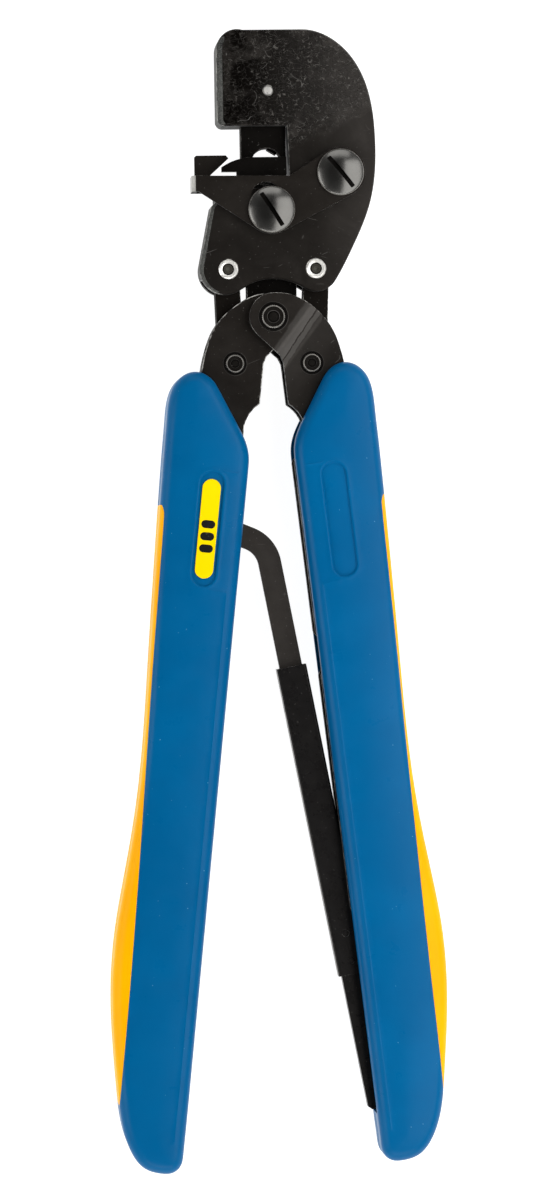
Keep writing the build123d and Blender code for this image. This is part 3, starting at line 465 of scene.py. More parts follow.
STEEL = {
    # the left-facing sides take the pale cut-side finish as painted light
    "head_frame": dict(face="head", side="side_dark", width=0.35, special="side", pick=lit_left_faces,
                       reshape=broad_chamfer),
    "wire_crimper": dict(face="die", side="hidden", edge="edge_faint", width=0.12),
    "insulation_crimper": dict(face="die", side="hidden", edge="edge_faint", width=0.12),
    "die_retaining_pin": dict(face="bright", edge="bright", side="bright", width=0.1),
    "locator_plate": dict(face="plate", side="side_dark", width=0.2, special="tab", pick=tab_end),
    "ram": dict(face="ram", side="hidden", edge="edge_faint", width=0.2),
    "wire_anvil": dict(face="die", side="die", edge="edge_faint", width=0.12),
    "insulation_anvil": dict(face="die", side="die", edge="edge_faint", width=0.12),
    "ram_front_plate": dict(face="die", side="die", edge="edge_faint", width=0.15),
    "die_clamp_screw": dict(face="screw", edge="edge_faint", side="screw", width=0.08),
    "pivot_retaining_ring": dict(face="spring", edge="spring", side="spring", width=0.08),
    "left_toggle_link": dict(face="link", side="hidden", edge="edge_faint", width=0.2),
    "right_toggle_link": dict(face="link", side="hidden", edge="edge_faint", width=0.2),
    "left_handle_channel": dict(face="channel", side="side_dark", width=0.25),
    "right_handle_channel": dict(face="cheek", side="side_dark", width=0.25, bends=0.7),
    "ratchet_sleeve": dict(face="sleeve", side="sleeve", edge="edge", width=0.16),
    "strut_lower_bar": dict(face="sleeve", side="sleeve", edge="edge_faint", width=0.3),
    "sleeve_rivets": dict(face="sleeve", edge="sleeve", side="sleeve", width=0.1),
    "strut_anchor_pin": dict(face="pin", edge="rim", side="pin", width=0.2),
    "ratchet_bar": dict(face="bar", side="bar", edge="bar", width=0.5, segments=4),
    "bar_end_pin": dict(face="pin", edge="rim", side="pin", width=0.2),
    "ratchet_pawl": dict(face="die", edge="edge_faint", width=0.08),
    "pawl_pin": dict(face="pin", edge="rim", width=0.06),
    "pawl_spring": dict(face="spring", edge="spring", width=0.04),
    "grip_label": dict(face="label", edge="label", width=0.2, segments=3),
}
for steel_node, steel_finish in STEEL.items():
    finish_steel(steel_node, **steel_finish)


# ---- moulded grips ----------------------------------------
ROUND = 3.2                             # radius along the grips' front and back edges
CROWN_W, CROWN_H = 11.5, 1.0            # the faces fall away by this over this distance from the edge
SETTLE = 0.18                           # moulding shrinkage below the nominal depth
FOOT, FOOT_SPAN, FOOT_DROP = (12.0, -247.0), 24.0, 2.0      # the faces fall away towards the foot
JOIN_W, JOIN_DEPTH = 0.22, 0.14         # the groove between the two colours
LIP_W, LIP_H = 0.34, 0.13               # the raised lip around the label's recess
SEAM_W, SEAM_H = 0.2, 0.12              # the raised mould lines
PARTING_W, PARTING_DEPTH = 0.22, 0.09   # the parting line around the side
GRIP_SHIFT_U, GRIP_SHIFT_V = 0.95, 1.25
LABEL_AT, LABEL_L, LABEL_W = (12.3, -61.5), 33.4, 7.2
LABEL_DEPTH = 0.6
SEAMS = ([(10.6, -79.0), (5.2, -79.4), (5.2, -150.0), (5.2, -238.0)], [(9.4, -44.6), (5.0, -44.9)])
INSERT_CURVE = [(29.0, -54.5), (26.8, -55.1), (25.5, -57.0), (25.1, -60.5), (24.7, -80.0), (24.2, -105.0),
                (23.0, -150.0), (22.2, -190.0), (21.9, -222.0), (21.9, -236.0)]
CHANNEL_U, CHANNEL_END = 19.4, -232.1   # the steel channel's outer side and its lower end
POCKET_OUT, POCKET_TOP, POCKET_Z = -3.0, 0.5, 6.05      # the cutter runs past the grip inwards and upwards


def handle_to_frame(side, u, v):
    """A place along a handle, to the right and up in millimetres, as x and y in the frame."""
    lean = side * REST_ANGLE
    return (PIVOT.x + (u * math.cos(lean) - v * math.sin(lean)) * MM,
            PIVOT.y + (u * math.sin(lean) + v * math.cos(lean)) * MM)


def grip_to_frame(side, u, v):
    """A place in a grip's own axes, outwards and up in millimetres, as x and y in the frame."""
    return handle_to_frame(side, side * u - GRIP_SHIFT_U, v + side * GRIP_SHIFT_V)


def closed_outline(nodes, height):
    """The ring of mesh edges that lies at one height around some nodes, as an ordered list of points."""
    beside = {}
    for node in nodes:
        mesh = NODES[node].data
        level = [abs(v.co.z - height) < 0.02 * MM for v in mesh.vertices]
        key = [(round(v.co.x / MM, 2), round(v.co.y / MM, 2)) for v in mesh.vertices]
        for e in mesh.edges:
            a, b = e.vertices
            if level[a] and level[b] and key[a] != key[b]:
                beside.setdefault(key[a], set()).add(key[b])
                beside.setdefault(key[b], set()).add(key[a])
    ends = [p for p in beside if len(beside[p]) < 2]
    while ends:
        for p in ends:
            for q in beside.pop(p):
                beside[q].discard(p)
        ends = [p for p in beside if len(beside[p]) < 2]
    start = min(beside)
    ring, last = [start], None
    while len(ring) == 1 or ring[-1] != start:
        onward = [p for p in beside[ring[-1]] if p != last]
        last = ring[-1]
        ring.append(min(onward, key=lambda p: math.dist(p, last)))
    ring.pop()
    return np.array(ring)


def resample(points, step, closed=True, smooth=3):
    """Evenly spaced points along a polyline, with its facets eased."""
    path = np.vstack([points, points[:1]]) if closed else np.asarray(points, float)
    gaps = np.hypot(*np.diff(path, axis=0).T)
    along = np.concatenate([[0], np.cumsum(gaps)])
    count = max(8, round(along[-1] / step))
    at = np.linspace(0, along[-1], count + (0 if closed else 1), endpoint=not closed)
    even = np.column_stack([np.interp(at, along, path[:, k]) for k in (0, 1)])
    for _ in range(smooth):
        eased = (np.roll(even, 1, 0) + 2 * even + np.roll(even, -1, 0)) / 4
        if not closed:
            eased[0], eased[-1] = even[0], even[-1]
        even = eased
    return even


def curve_through(points, step=0.7):
    """A Catmull-Rom curve through a few points, evenly sampled."""
    p = np.array([points[0]] + list(points) + [points[-1]], float)
    t = np.linspace(0, 1, 24, endpoint=False)[:, None]
    runs = []
    for a, b, c, d in zip(p[:-3], p[1:-2], p[2:-1], p[3:]):
        runs.append(0.5 * (2 * b + (c - a) * t + (2 * a - 5 * b + 4 * c - d) * t ** 2
                           + (3 * b - a - 3 * c + d) * t ** 3))
    return resample(np.vstack(runs + [p[-1:]]), step, closed=False, smooth=0)


def distance_to(points, path, closed):
    """Distance from each point to a polyline."""
    a = np.asarray(path, float)
    b = np.roll(a, -1, 0) if closed else a[1:]
    a = a if closed else a[:-1]
    ab = b - a
    length = np.maximum((ab ** 2).sum(1), 1e-12)
    best = np.full(len(points), 1e9)
    for i in range(0, len(points), 2000):
        p = points[i:i + 2000, None, :]
        t = np.clip(((p - a) * ab).sum(2) / length, 0, 1)
        near = a + t[..., None] * ab
        best[i:i + 2000] = np.sqrt(((p - near) ** 2).sum(2)).min(1)
    return best


def inside(points, ring):
    """Which points lie inside a closed ring."""
    x, y = points[:, 0], points[:, 1]
    result = np.zeros(len(points), bool)
    for (x1, y1), (x2, y2) in zip(ring, np.roll(ring, -1, 0)):
        crosses = (y1 > y) != (y2 > y)
        if crosses.any():
            result ^= crosses & (x < (x2 - x1) * (y - y1) / (y2 - y1 + 1e-15) + x1)
    return result


def inset(ring, distance):
    """A closed ring moved inwards; the ring runs anticlockwise."""
    ahead = np.roll(ring, -1, 0) - np.roll(ring, 1, 0)
    ahead /= np.hypot(*ahead.T)[:, None]
    return ring + distance * np.column_stack([-ahead[:, 1], ahead[:, 0]])


def obround(centre, length, width, out, turn, step=0.7):
    """A slot-shaped ring about a centre, grown by out, with its long axis turned from +Y."""
    r, half = width / 2 + out, (length - width) / 2
    arc = np.linspace(0, math.pi, max(8, round(math.pi * r / step)) + 1)
    top = np.column_stack([r * np.cos(arc), half + r * np.sin(arc)])
    shape = np.vstack([top, -top])
    c, s = math.cos(turn), math.sin(turn)
    return resample(shape @ np.array([[c, s], [-s, c]]) + centre, step, smooth=0)


def wall_of(d, radius=ROUND):
    """Height lost to the rounded edge at a distance from the outline."""
    d = np.clip(d, 0, radius)
    return radius - np.sqrt(np.maximum(radius ** 2 - (radius - d) ** 2, 0))


def ramp(value, low, high):
    t = np.clip((value - low) / (high - low), 0, 1)
    return t * t * (3 - 2 * t)


class Grip:
    """One moulded grip: a blue cover with a label recess, and an amber strip along its outer side."""

    def __init__(self, side):
        self.side = side
        self.word = "left" if side < 0 else "right"
        self.body = self.word + "_handle"
        nodes = [self.word + "_grip", self.word + "_grip_insert"]
        top = max(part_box(n)[1].z for n in nodes)
        self.half = (top - MID_Z) / MM - SETTLE
        ring = resample(closed_outline(nodes, top - ROUND * MM), 0.75)
        x, y = ring.T
        if (x * np.roll(y, -1) - y * np.roll(x, -1)).sum() < 0:
            ring = ring[::-1]
        self.ring = ring
        self.split = curve_through([self.at(*p) for p in INSERT_CURVE])
        self.label = np.array(self.at(*LABEL_AT))
        self.turn = side * REST_ANGLE
        axis = np.array([-math.sin(self.turn), math.cos(self.turn)]) * (LABEL_L - LABEL_W) / 2
        self.label_spine = np.array([self.label - axis, self.label + axis])
        self.seams = [[self.at(*p) for p in seam] for seam in SEAMS]

    def at(self, u, v):
        x, y = grip_to_frame(self.side, u, v)
        return (x / MM, y / MM)

    def height(self, xy, front, gap):
        """Height above the middle plane. gap is the distance to the join between the two colours."""
        d = distance_to(xy, self.ring, True)
        foot = np.array(self.at(*FOOT))
        up = np.array([-math.sin(self.turn), math.cos(self.turn)])
        z = self.half - wall_of(d) - CROWN_H * np.clip(1 - d / CROWN_W, 0, 1) ** 2
        z -= FOOT_DROP * np.clip(1 - ((xy - foot) @ up) / FOOT_SPAN, 0, 1) ** 2
        z -= JOIN_DEPTH * np.clip(1 - gap / JOIN_W, 0, 1)
        if front:
            out = distance_to(xy, self.label_spine, False) - LABEL_W / 2
            z -= LABEL_DEPTH * ramp(-out, -0.05, 0.4)
            z += LIP_H * np.exp(-((out - 0.45) / LIP_W) ** 2)
            for seam in self.seams:
                clear = ramp(out, 0.4, 1.4)
                z += SEAM_H * np.exp(-(distance_to(xy, seam, False) / SEAM_W) ** 2) * clear
        return z

    def domain(self, strip):
        """The closed ring of the blue cover or of the amber strip, and the join between them."""
        cut = [p for p in self.split if inside(p[None], self.ring)[0]]
        gaps = [distance_to(np.array([p]), self.ring, True)[0] for p in (cut[0], cut[-1])]
        cut = np.array([p for i, p in enumerate(cut) if not (i == 0 and gaps[0] < 0.15)])
        first = np.argmin(np.hypot(*(self.ring - cut[0]).T))
        last = np.argmin(np.hypot(*(self.ring - cut[-1]).T))
        n = len(self.ring)

        def walk(a, b):
            return self.ring[[(a + k) % n for k in range((b - a) % n + 1)]]

        ways = [walk(first, last), walk(last, first)[::-1]]
        spans = [np.hypot(*np.diff(w, axis=0).T).sum() for w in ways]
        short, long_ = (ways[0], ways[1]) if spans[0] < spans[1] else (ways[1], ways[0])
        edge = short if strip else long_
        return np.vstack([edge, cut[::-1]]), cut

    def flat_net(self, strip):
        """A triangle net over the piece's outline, finer where its height changes fast."""
        ring, cut = self.domain(strip)
        verts, edges = [], []

        def add(path, closed):
            base = len(verts)
            verts.extend(Vector(p) for p in path)
            n = len(path)
            edges.extend((base + k, base + (k + 1) % n) for k in range(n if closed else n - 1))

        add(ring, True)
        for k in range(1, 9):
            add(inset(self.ring, ROUND * (1 - math.cos(k * math.pi / 16))), True)
        for d in (5.0, 7.5):
            add(resample(inset(self.ring, d), 1.4), True)
        normal = np.gradient(cut, axis=0)
        normal /= np.hypot(*normal.T)[:, None]
        normal = np.column_stack([-normal[:, 1], normal[:, 0]])
        for d in (-JOIN_W, JOIN_W):
            add((cut + normal * d)[1:-1], False)
        if not strip:
            for out in (1.1, 0.8, 0.45, 0.2, 0.05, -0.1, -0.25, -0.4, -0.7):
                add(obround(self.label, LABEL_L, LABEL_W, out, self.turn, 0.55), True)
            for seam in self.seams:
                line = resample(np.array(seam), 0.9, closed=False, smooth=0)
                aside = np.array([SEAM_W, 0.0] if len(seam) > 2 else [0.0, SEAM_W])
                for step in (-2, -1, 0, 1, 2):
                    add(line + aside * step, False)
        low, high = self.ring.min(0), self.ring.max(0)
        xs, ys = np.meshgrid(np.arange(low[0], high[0], 1.7), np.arange(low[1], high[1], 1.7))
        grid = np.column_stack([xs.ravel(), ys.ravel()])
        recess = obround(self.label, LABEL_L, LABEL_W, 0.2, self.turn)
        keep = inside(grid, ring) & (distance_to(grid, self.ring, True) > ROUND + 0.6)
        keep &= distance_to(grid, recess, True) > 1.3
        verts.extend(Vector(p) for p in grid[keep])
        flat, _, faces, _, _, _ = geometry.delaunay_2d_cdt(verts, edges, [], 0, 1e-4, False)
        xy = np.array([tuple(p) for p in flat])
        faces = np.array(faces)
        middle = xy[faces].mean(1)
        faces = faces[inside(middle, ring)]
        used = np.unique(faces)
        index = np.full(len(xy), -1)
        index[used] = np.arange(len(used))
        return xy[used], index[faces], distance_to(xy[used], cut, False)

    def shell(self, strip):
        """The closed form: a front and a back over the same net, and the side between them."""
        xy, faces, gap = self.flat_net(strip)
        count = len(xy)
        front = np.column_stack([xy, self.height(xy, True, gap)])
        back = np.column_stack([xy, -self.height(xy, False, gap)])
        bm = bmesh.new()
        points = [bm.verts.new(Vector((p[0], p[1], p[2])) * MM + Vector((0, 0, MID_Z)))
                  for p in np.vstack([front, back])]
        for a, b, c in faces:
            if np.cross(xy[b] - xy[a], xy[c] - xy[a]) < 0:
                b, c = c, b
            bm.faces.new((points[a], points[b], points[c]))
            bm.faces.new((points[count + c], points[count + b], points[count + a]))
        # sides, with a fine parting line at mid height
        border = [e for e in bm.edges if e.is_boundary and e.verts[0].co.z > MID_Z]
        number = {v: i for i, v in enumerate(points)}
        deeper = inset(self.ring, 1.0)
        levels = {}

        def level(v, z, pinch):
            key = (number[v], z)
            if key not in levels:
                at = np.array([v.co.x, v.co.y]) / MM
                near = np.argmin(np.hypot(*(self.ring - at).T))
                x, y = at + (deeper[near] - self.ring[near]) * pinch
                levels[key] = bm.verts.new((x * MM, y * MM, MID_Z + z * MM))
            return levels[key]

        for e in border:
            a, b = e.verts
            if e.link_loops[0].vert is not a:
                a, b = b, a
            columns = [[a], [b]]
            for v, column in zip((a, b), columns):
                for z, pinch in ((PARTING_W, 0), (0.0, PARTING_DEPTH), (-PARTING_W, 0)):
                    column.append(level(v, z, pinch))
                column.append(points[count + number[v]])
            for k in range(4):
                bm.faces.new((columns[1][k], columns[0][k], columns[0][k + 1], columns[1][k + 1]))
        bmesh.ops.recalc_face_normals(bm, faces=bm.faces)
        mesh = bpy.data.meshes.new(f"{self.word}_grip_{'strip' if strip else 'cover'}")
        bm.to_mesh(mesh)
        bm.free()
        return mesh

    def build(self):
        cover = link(f"{self.word}_grip_cover", self.shell(False))
        use(cover.data, "blue")
        self.cut_pocket(cover)
        cover.data.shade_smooth()
        cover.data.set_sharp_from_angle(angle=math.radians(32))
        stand_for(cover, self.word + "_grip")
        strip = link(f"{self.word}_grip_strip", self.shell(True))
        use(strip.data, "amber")
        strip.data.shade_smooth()
        strip.data.set_sharp_from_angle(angle=math.radians(32))
        stand_for(strip, self.word + "_grip_insert")

    def cut_pocket(self, cover):
        """The pocket that takes the steel channel, open at the inner side and at the top."""
        bm = bmesh.new()
        corners = []
        for z in (-POCKET_Z, POCKET_Z):
            for u, v in ((POCKET_OUT, POCKET_TOP), (POCKET_OUT, CHANNEL_END), (CHANNEL_U, CHANNEL_END),
                         (CHANNEL_U, POCKET_TOP)):
                x, y = handle_to_frame(self.side, self.side * u, v)
                corners.append(bm.verts.new((x, y, MID_Z + z * MM)))
        bm.faces.new(corners[:4])
        bm.faces.new(corners[4:])
        for k in range(4):
            bm.faces.new((corners[k], corners[(k + 1) % 4], corners[4 + (k + 1) % 4], corners[4 + k]))
        bmesh.ops.recalc_face_normals(bm, faces=bm.faces)
        mesh = bpy.data.meshes.new("pocket")
        bm.to_mesh(mesh)
        bm.free()
        cutter = link("pocket", mesh)
        boolean = cover.modifiers.new("pocket", "BOOLEAN")
        boolean.object = cutter
        boolean.operation = "DIFFERENCE"
        boolean.solver = "EXACT"
        depsgraph = bpy.context.evaluated_depsgraph_get()
        result = bpy.data.meshes.new_from_object(cover.evaluated_get(depsgraph))
        cover.modifiers.clear()
        cover.data = result
        bpy.data.objects.remove(cutter)


for grip_side in (-1, 1):
    Grip(grip_side).build()


# ---- turned pieces ----------------------------------------
TURN = np.linspace(0, 2 * math.pi, 72, endpoint=False)
CIRCLE = np.column_stack([np.cos(TURN), np.sin(TURN)])


def placed(bm, at, x, y, z):
    """A new vertex, in millimetres from an axis and from the middle plane."""
    return bm.verts.new((PIVOT.x + (at[0] + x) * MM, PIVOT.y + (at[1] + y) * MM, MID_Z + z * MM))


def worked_face(bm, at, radius, height, pick, rings=(), marks=(), back=False):
    """The end of a turned piece: a height over a disc. Gives its rim's vertices, in order around it."""
    verts, edges = [], []
    for path in [CIRCLE * r for r in (radius, *rings)] + list(marks):
        base, n = len(verts), len(path)
        verts.extend(Vector(p) for p in path)
        edges.extend((base + k, base + (k + 1) % n) for k in range(n))
    flat, _, faces, _, _, _ = geometry.delaunay_2d_cdt(verts, edges, [], 0, 1e-5, False)
    xy = np.array([tuple(p) for p in flat])
    z = height(xy) * (-1 if back else 1)
    points = [placed(bm, at, *p, h) for p, h in zip(xy, z)]
    for face in faces:
        made = bm.faces.new([points[i] for i in (reversed(face) if back else face)])
        made.material_index = pick(*xy[list(face)].mean(0))
    rim = [i for i in range(len(xy)) if math.hypot(*xy[i]) > radius - 0.001]
    rim.sort(key=lambda i: round(math.atan2(xy[i][1], xy[i][0]) % (2 * math.pi), 4) % 6.2831)
    return [points[i] for i in rim]


def band(bm, above, below, index):
    n = len(above)
    for k in range(n):
        face = bm.faces.new((above[k], below[k], below[(k + 1) % n], above[(k + 1) % n]))
        face.material_index = index


def turned_side(bm, at, rim, profile, last=None, index=0):
    """Rings below a worked face, each joined to the next. The end is last, another face's rim, or closed."""
    for r, z in profile:
        below = [placed(bm, at, *(p * r), z) for p in CIRCLE]
        band(bm, rim, below, index)
        rim = below
    if last:
        band(bm, rim, last, index)
    else:
        bm.faces.new(rim[::-1]).material_index = index


def turned_piece(bm, node, *materials):
    bmesh.ops.recalc_face_normals(bm, faces=bm.faces)
    mesh = bpy.data.meshes.new(node + "_turned")
    use(mesh, *materials)
    bm.to_mesh(mesh)
    bm.free()
    piece = link(node + "_turned", mesh)
    piece.data.shade_smooth()
    piece.data.set_sharp_from_angle(angle=math.radians(30))
    return stand_for(piece, node)


SCREW_R, SCREW_TOP, SCREW_SEAT, SCREW_FOOT = 6.75, 10.95, 8.15, 6.52
CROWN_R = 12.94                         # radius of a screw's dome
SHOULDER_R, SHANK_R, SHANK_END = 4.1, 2.5, 3.45
SLOT_HALF, SLOT_FLOOR, SLOT_REACH = 0.64, 9.95, 5.6
SCREWS = (((20.1, 41.5), math.radians(-51.0)), ((0.0, 30.9), math.radians(-57.3)))


def make_screws():
    """Two domed, slotted shoulder screws."""
    bm = bmesh.new()
    for at, turn in SCREWS:
        along = np.array([math.cos(turn), math.sin(turn)])
        across = np.array([-along[1], along[0]])

        def height(xy):
            r = np.hypot(*xy.T)
            dome = SCREW_TOP - CROWN_R + np.sqrt(CROWN_R ** 2 - r ** 2) - wall_of(SCREW_R - r, 0.35)
            slot = (np.abs(xy @ across) < SLOT_HALF - 0.02) & (np.abs(xy @ along) < SLOT_REACH + 0.01)
            return np.where(slot, np.minimum(dome, SLOT_FLOOR), dome)

        def pick(x, y):
            p = np.array([x, y])
            slot = abs(p @ across) < SLOT_HALF and abs(p @ along) < SLOT_REACH
            # the slot's floor takes the near-black finish, painted shade in the recess
            return 1 if slot else (2 if math.hypot(x, y) > SCREW_R - 0.16 else 0)

        marks = []
        for half in (SLOT_HALF, SLOT_HALF - 0.03):
            ends = [(SLOT_REACH, half), (-SLOT_REACH, half), (-SLOT_REACH, -half), (SLOT_REACH, -half)]
            marks.append(resample(np.array([a * along + b * across for a, b in ends]), 0.5, smooth=0))
        rings = (6.65, 6.5, 6.3, 5.9, 5.3, 4.6, 3.9, 3.2, 2.5, 1.8, 1.1)
        rim = worked_face(bm, at, SCREW_R, height, pick, rings, marks)
        turned_side(bm, at, rim, [(SCREW_R, SCREW_SEAT), (SHOULDER_R, SCREW_SEAT), (SHOULDER_R, SCREW_FOOT),
                                  (SHANK_R, SCREW_FOOT), (SHANK_R, SHANK_END)])
    turned_piece(bm, "locator_screws", "screw", "hidden", "rim")


def hexagon(radius, turn=0.0):
    angles = turn + np.arange(6) * math.pi / 3
    return radius * np.column_stack([np.cos(angles), np.sin(angles)])


def flat_ring(bm, at, inner, outer, z, lift):
    """A thin raised ring that lies on a cheek around a pin."""
    shape = ((inner, z), (inner, z + lift * 0.4), (outer - 0.12, z + lift), (outer, z + lift * 0.5),
             (outer, z))
    rims = [[placed(bm, at, *(p * r), h) for p in CIRCLE] for r, h in shape]
    # the ring's raised top and outer edge take the paler band, a painted highlight
    for k, index in enumerate((1, 1, 3, 3)):
        band(bm, rims[k], rims[k + 1], index)
    band(bm, rims[4], rims[0], 1)


def make_pins(node, spots, radius, front, heights, bands, materials, core=None, back=None, sides=(),
              ring=None):
    """Pins along Z. heights gives the face's level against radius and bands its finish, both outwards.
    core is a hexagon socket's radius and depth; without back, both ends are alike."""
    bm = bmesh.new()
    radii, levels = zip(*heights)
    rings = [r for r in radii if 0.1 < r < radius - 0.01]

    def pick(x, y):
        r = math.hypot(x, y)
        return next(index for limit, index in bands if r <= limit)

    for k, at in enumerate(spots):
        turn = 0.3 + k

        def height(xy):
            z = front + np.interp(np.hypot(*xy.T), radii, levels)
            if core:
                z = np.where(inside(xy, hexagon(core[0] - 0.01, turn)), front + core[1], z)
            return z

        marks = [hexagon(core[0], turn), hexagon(core[0] - 0.04, turn)] if core else []
        rim = worked_face(bm, at, radius, height, pick, rings, marks)
        if back is None:
            other = worked_face(bm, at, radius, height, pick, rings, marks, back=True)
            turned_side(bm, at, rim, sides, last=other)
        else:
            turned_side(bm, at, rim, [*sides, (radius, back + 0.3), (radius - 0.3, back)])
        if ring:
            flat_ring(bm, at, *ring)
    turned_piece(bm, node, *materials)


# a pin's face, its near-black groove as painted shade, its rim, and the paler band as painted highlight
PIN_BLACK = ("pin", "hidden", "rim", "ring_highlight")
LINK_PIN_U, LINK_PIN_V = 9.6, 14.45     # outwards and down a handle from the main pivot


def link_pin_spot(side):
    c, s = math.cos(REST_ANGLE), math.sin(REST_ANGLE)
    return (side * LINK_PIN_U * c + side * LINK_PIN_V * s, LINK_PIN_U * s - LINK_PIN_V * c)


# each pin's radius, front, face (radius and depth) and the finish of each band
FRAME_PIN_R, FRAME_PIN_FRONT = 2.85, 6.8
FRAME_PIN_FACE = [(0.0, -0.32), (1.3, -0.22), (1.42, -0.5), (1.62, -0.5), (1.74, -0.16), (2.05, -0.02),
                  (2.4, 0.0), (2.7, -0.16), (2.85, -0.4)]
# the band from 1.42 to 1.66 is the groove, in near-black as painted shade
FRAME_PIN_BANDS = [(0.62, 3), (1.42, 0), (1.66, 1), (3.0, 2)]
FRAME_PIN_SOCKET = (0.75, -0.62)
PIVOT_R, PIVOT_FRONT, PIVOT_BACK = 3.4, 9.0, -10.1
PIVOT_FACE = [(0.0, -0.1), (1.2, -0.1), (1.32, -0.25), (1.7, -0.25), (1.86, -0.12), (2.8, -0.1), (2.96, 0.0),
              (3.16, 0.0), (3.4, -0.22)]
PIVOT_BANDS = [(1.26, 0), (1.74, 1), (1.9, 3), (2.94, 0), (3.24, 2), (3.5, 1)]
RING_GROOVE = ((PIVOT_R, -8.8), (2.8, -8.8), (2.8, -9.5), (PIVOT_R, -9.5))
LINK_PIN_R, LINK_PIN_FRONT = 2.65, 6.4
LINK_PIN_FACE = [(0.0, -0.1), (0.8, -0.1), (0.9, -0.25), (1.2, -0.25), (1.34, -0.12), (2.1, -0.1),
                 (2.24, 0.0), (2.42, 0.0), (2.65, -0.2)]
LINK_PIN_BANDS = [(0.85, 0), (1.27, 1), (1.42, 3), (2.24, 0), (2.5, 2), (2.8, 1)]
# the dark ring on the cheek around a pin: inner and outer radius, level and height
PIVOT_RING = (3.44, 4.35, 8.63, 0.1)
LINK_PIN_RING = (2.69, 3.5, 5.93, 0.1)

make_screws()
make_pins("frame_pins", [FRAME_PIN, (-FRAME_PIN[0], FRAME_PIN[1])], FRAME_PIN_R, FRAME_PIN_FRONT,
          FRAME_PIN_FACE, FRAME_PIN_BANDS, ("socket", "hidden", "nickel", "hexagon"), core=FRAME_PIN_SOCKET)
make_pins("main_pivot_pin", [(0.0, 0.0)], PIVOT_R, PIVOT_FRONT, PIVOT_FACE, PIVOT_BANDS, PIN_BLACK,
          back=PIVOT_BACK, sides=RING_GROOVE, ring=PIVOT_RING)
for pin_side, pin_word in ((-1, "left"), (1, "right")):
    make_pins(pin_word + "_link_pin", [link_pin_spot(pin_side)], LINK_PIN_R, LINK_PIN_FRONT,
              LINK_PIN_FACE, LINK_PIN_BANDS, PIN_BLACK, ring=LINK_PIN_RING)


# ---- label ----------------------------------------
BAR_L, BAR_W, BAR_GAP, BAR_LIFT = 4.0, 2.3, 3.5, 0.05
BARS_BELOW = 2.2                        # the middle bar lies this far below the label's middle


def make_label_bars():
    """Three plain printed bars across the label."""
    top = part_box("grip_label")[1].z
    bm = bmesh.new()
    for k in range(3):
        v = LABEL_AT[1] - BARS_BELOW - BAR_GAP * (k - 1)
        shape = obround(np.array([0.0, 0.0]), BAR_L, BAR_W, 0.0, math.pi / 2, 0.25)
        ring = []
        for dx, dy in shape:
            x, y = grip_to_frame(-1, LABEL_AT[0] - dx, v + dy)
            ring.append((x, y))
        low = [bm.verts.new((x, y, top + 0.01 * MM)) for x, y in ring]
        high = [bm.verts.new((x, y, top + BAR_LIFT * MM)) for x, y in ring]
        bm.faces.new(high)
        bm.faces.new(low[::-1])
        band(bm, high, low, 0)
    bmesh.ops.recalc_face_normals(bm, faces=bm.faces)
    mesh = bpy.data.meshes.new("grip_label_bars")
    bm.to_mesh(mesh)
    bm.free()
    use(mesh, "ink")
    piece = link("grip_label_bars", mesh)
    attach(piece, NODES["grip_label"]["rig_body"])


make_label_bars()


# ---- studio ----------------------------------------
LOOK_AT = Vector((2.3, -0.15, 18.5)) * MM
FRAME_HEIGHT = 0.3463                   # what the picture's height spans at the head's front
DISTANCE = 1.5
TILT = math.radians(4.0)                # the camera stands to the left of the tool
ROLL = math.radians(0.9)
FLOOR_GLOW, SKY_GLOW = 0.95, 0.35
FLOOR_GAP = 0.2 * MM                    # the floor lies this far under the tool
LIGHTS = {                              # azimuth, elevation, distance, size and power
    "left_softbox": (190.0, 24.0, 1.1, (0.9, 0.6), 6.0),
    "right_softbox": (-3.0, 52.0, 0.34, (0.7, 0.28), 1.7),
    "front_softbox": (-92.0, 22.0, 1.2, (1.1, 0.5), 6.0),
    "rear_softbox": (90.0, 30.0, 1.3, (1.1, 0.5), 3.5),
}


def make_floor():
    bm = bmesh.new()
    bmesh.ops.create_grid(bm, x_segments=8, y_segments=8, size=3.0)
    mesh = bpy.data.meshes.new("floor")
    bm.to_mesh(mesh)
    bm.free()
    floor = link("floor", mesh)
    floor.location.z = cad_low.z - FLOOR_GAP
    s = Shader("floor_white", Specular_IOR_Level=0.1, Emission_Color=(1.0, 1.0, 1.0, 1.0),
               Emission_Strength=FLOOR_GLOW)
    cloud = s.span(s.noise(6.0, 3.0), 0.3, 0.7)
    s.set("Base Color", s.blend(cloud, (0.34, 0.34, 0.34), (0.36, 0.36, 0.36)))
    s.set("Roughness", s.span(s.noise(30.0, 2.0), 0.3, 0.7, 0.7, 0.85))
    mesh.materials.append(s.material)


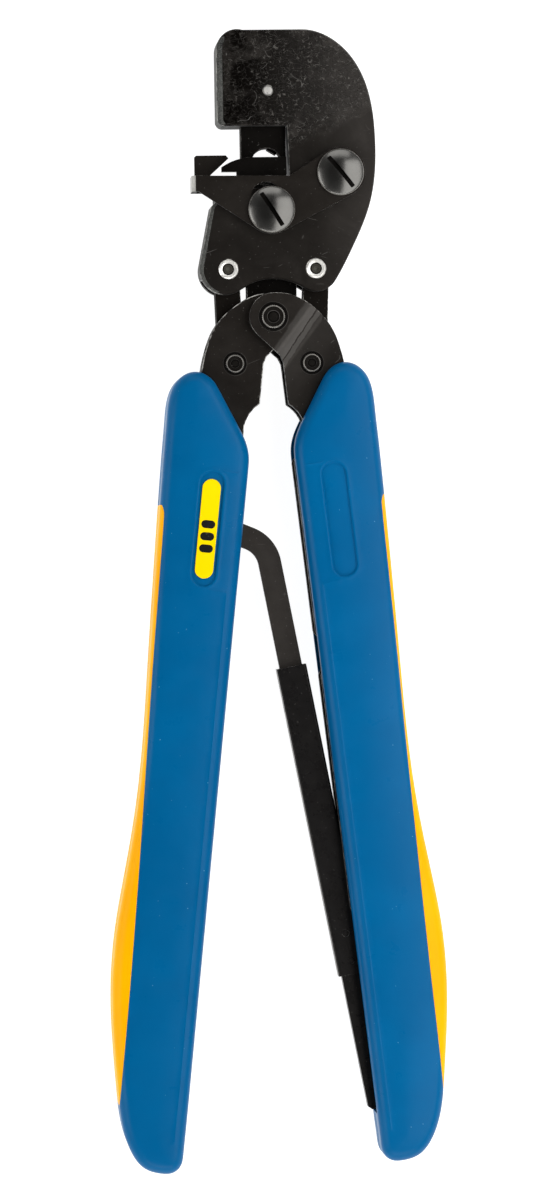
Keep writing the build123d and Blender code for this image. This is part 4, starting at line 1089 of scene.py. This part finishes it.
def make_light(name, azimuth, elevation, distance, size, power):
    """A softbox that faces the tool. Azimuth 0 is to the right and 90 is past the head."""
    light = bpy.data.lights.new(name, "AREA")
    light.shape = "RECTANGLE"
    light.size, light.size_y = size
    light.energy = power
    box = bpy.data.objects.new(name, light)
    bpy.context.scene.collection.objects.link(box)
    a, e = math.radians(azimuth), math.radians(elevation)
    out = Vector((math.cos(a) * math.cos(e), math.sin(a) * math.cos(e), math.sin(e)))
    box.location = LOOK_AT + out * distance
    box.rotation_mode = "QUATERNION"
    box.rotation_quaternion = out.to_track_quat("Z", "Y")


def make_camera():
    camera = bpy.data.cameras.new("camera")
    camera.sensor_width = 36.0
    camera.lens = camera.sensor_width * DISTANCE / FRAME_HEIGHT
    camera.clip_start, camera.clip_end = 0.05, 20.0
    eye = bpy.data.objects.new("camera", camera)
    bpy.context.scene.collection.objects.link(eye)
    back = Vector((-math.sin(TILT), 0.0, math.cos(TILT)))
    right = Vector((math.cos(TILT), 0.0, math.sin(TILT)))
    up = Vector((0.0, 1.0, 0.0))
    rolled_right = right * math.cos(ROLL) - up * math.sin(ROLL)
    rolled_up = up * math.cos(ROLL) + right * math.sin(ROLL)
    eye.location = LOOK_AT + back * DISTANCE
    basis = [[rolled_right[i], rolled_up[i], back[i]] for i in range(3)]
    eye.rotation_mode = "QUATERNION"
    eye.rotation_quaternion = Matrix(basis).to_quaternion()
    bpy.context.scene.camera = eye


def make_world():
    """A dim sky overhead and a bright horizon, as inside a light tent."""
    world = bpy.data.worlds.new("tent")
    bpy.context.scene.world = world
    world.use_nodes = True
    tree = world.node_tree
    place = tree.nodes.new("ShaderNodeTexCoord")
    parts = tree.nodes.new("ShaderNodeSeparateXYZ")
    tree.links.new(place.outputs["Generated"], parts.inputs[0])
    sky = tree.nodes.new("ShaderNodeValToRGB")
    tree.links.new(parts.outputs["Z"], sky.inputs[0])
    stops = sky.color_ramp.elements
    stops[0].position, stops[0].color = 0.0, (1.0, 1.0, 1.0, 1.0)
    stops[1].position, stops[1].color = 0.92, (0.05, 0.05, 0.05, 1.0)
    middle = stops.new(0.55)
    middle.color = (0.55, 0.55, 0.55, 1.0)
    tree.links.new(sky.outputs["Color"], tree.nodes["Background"].inputs["Color"])
    tree.nodes["Background"].inputs["Strength"].default_value = SKY_GLOW


make_floor()
make_world()
for light_name, light_set in LIGHTS.items():
    make_light(light_name, *light_set)
make_camera()
bpy.context.scene.view_settings.view_transform = "Standard"
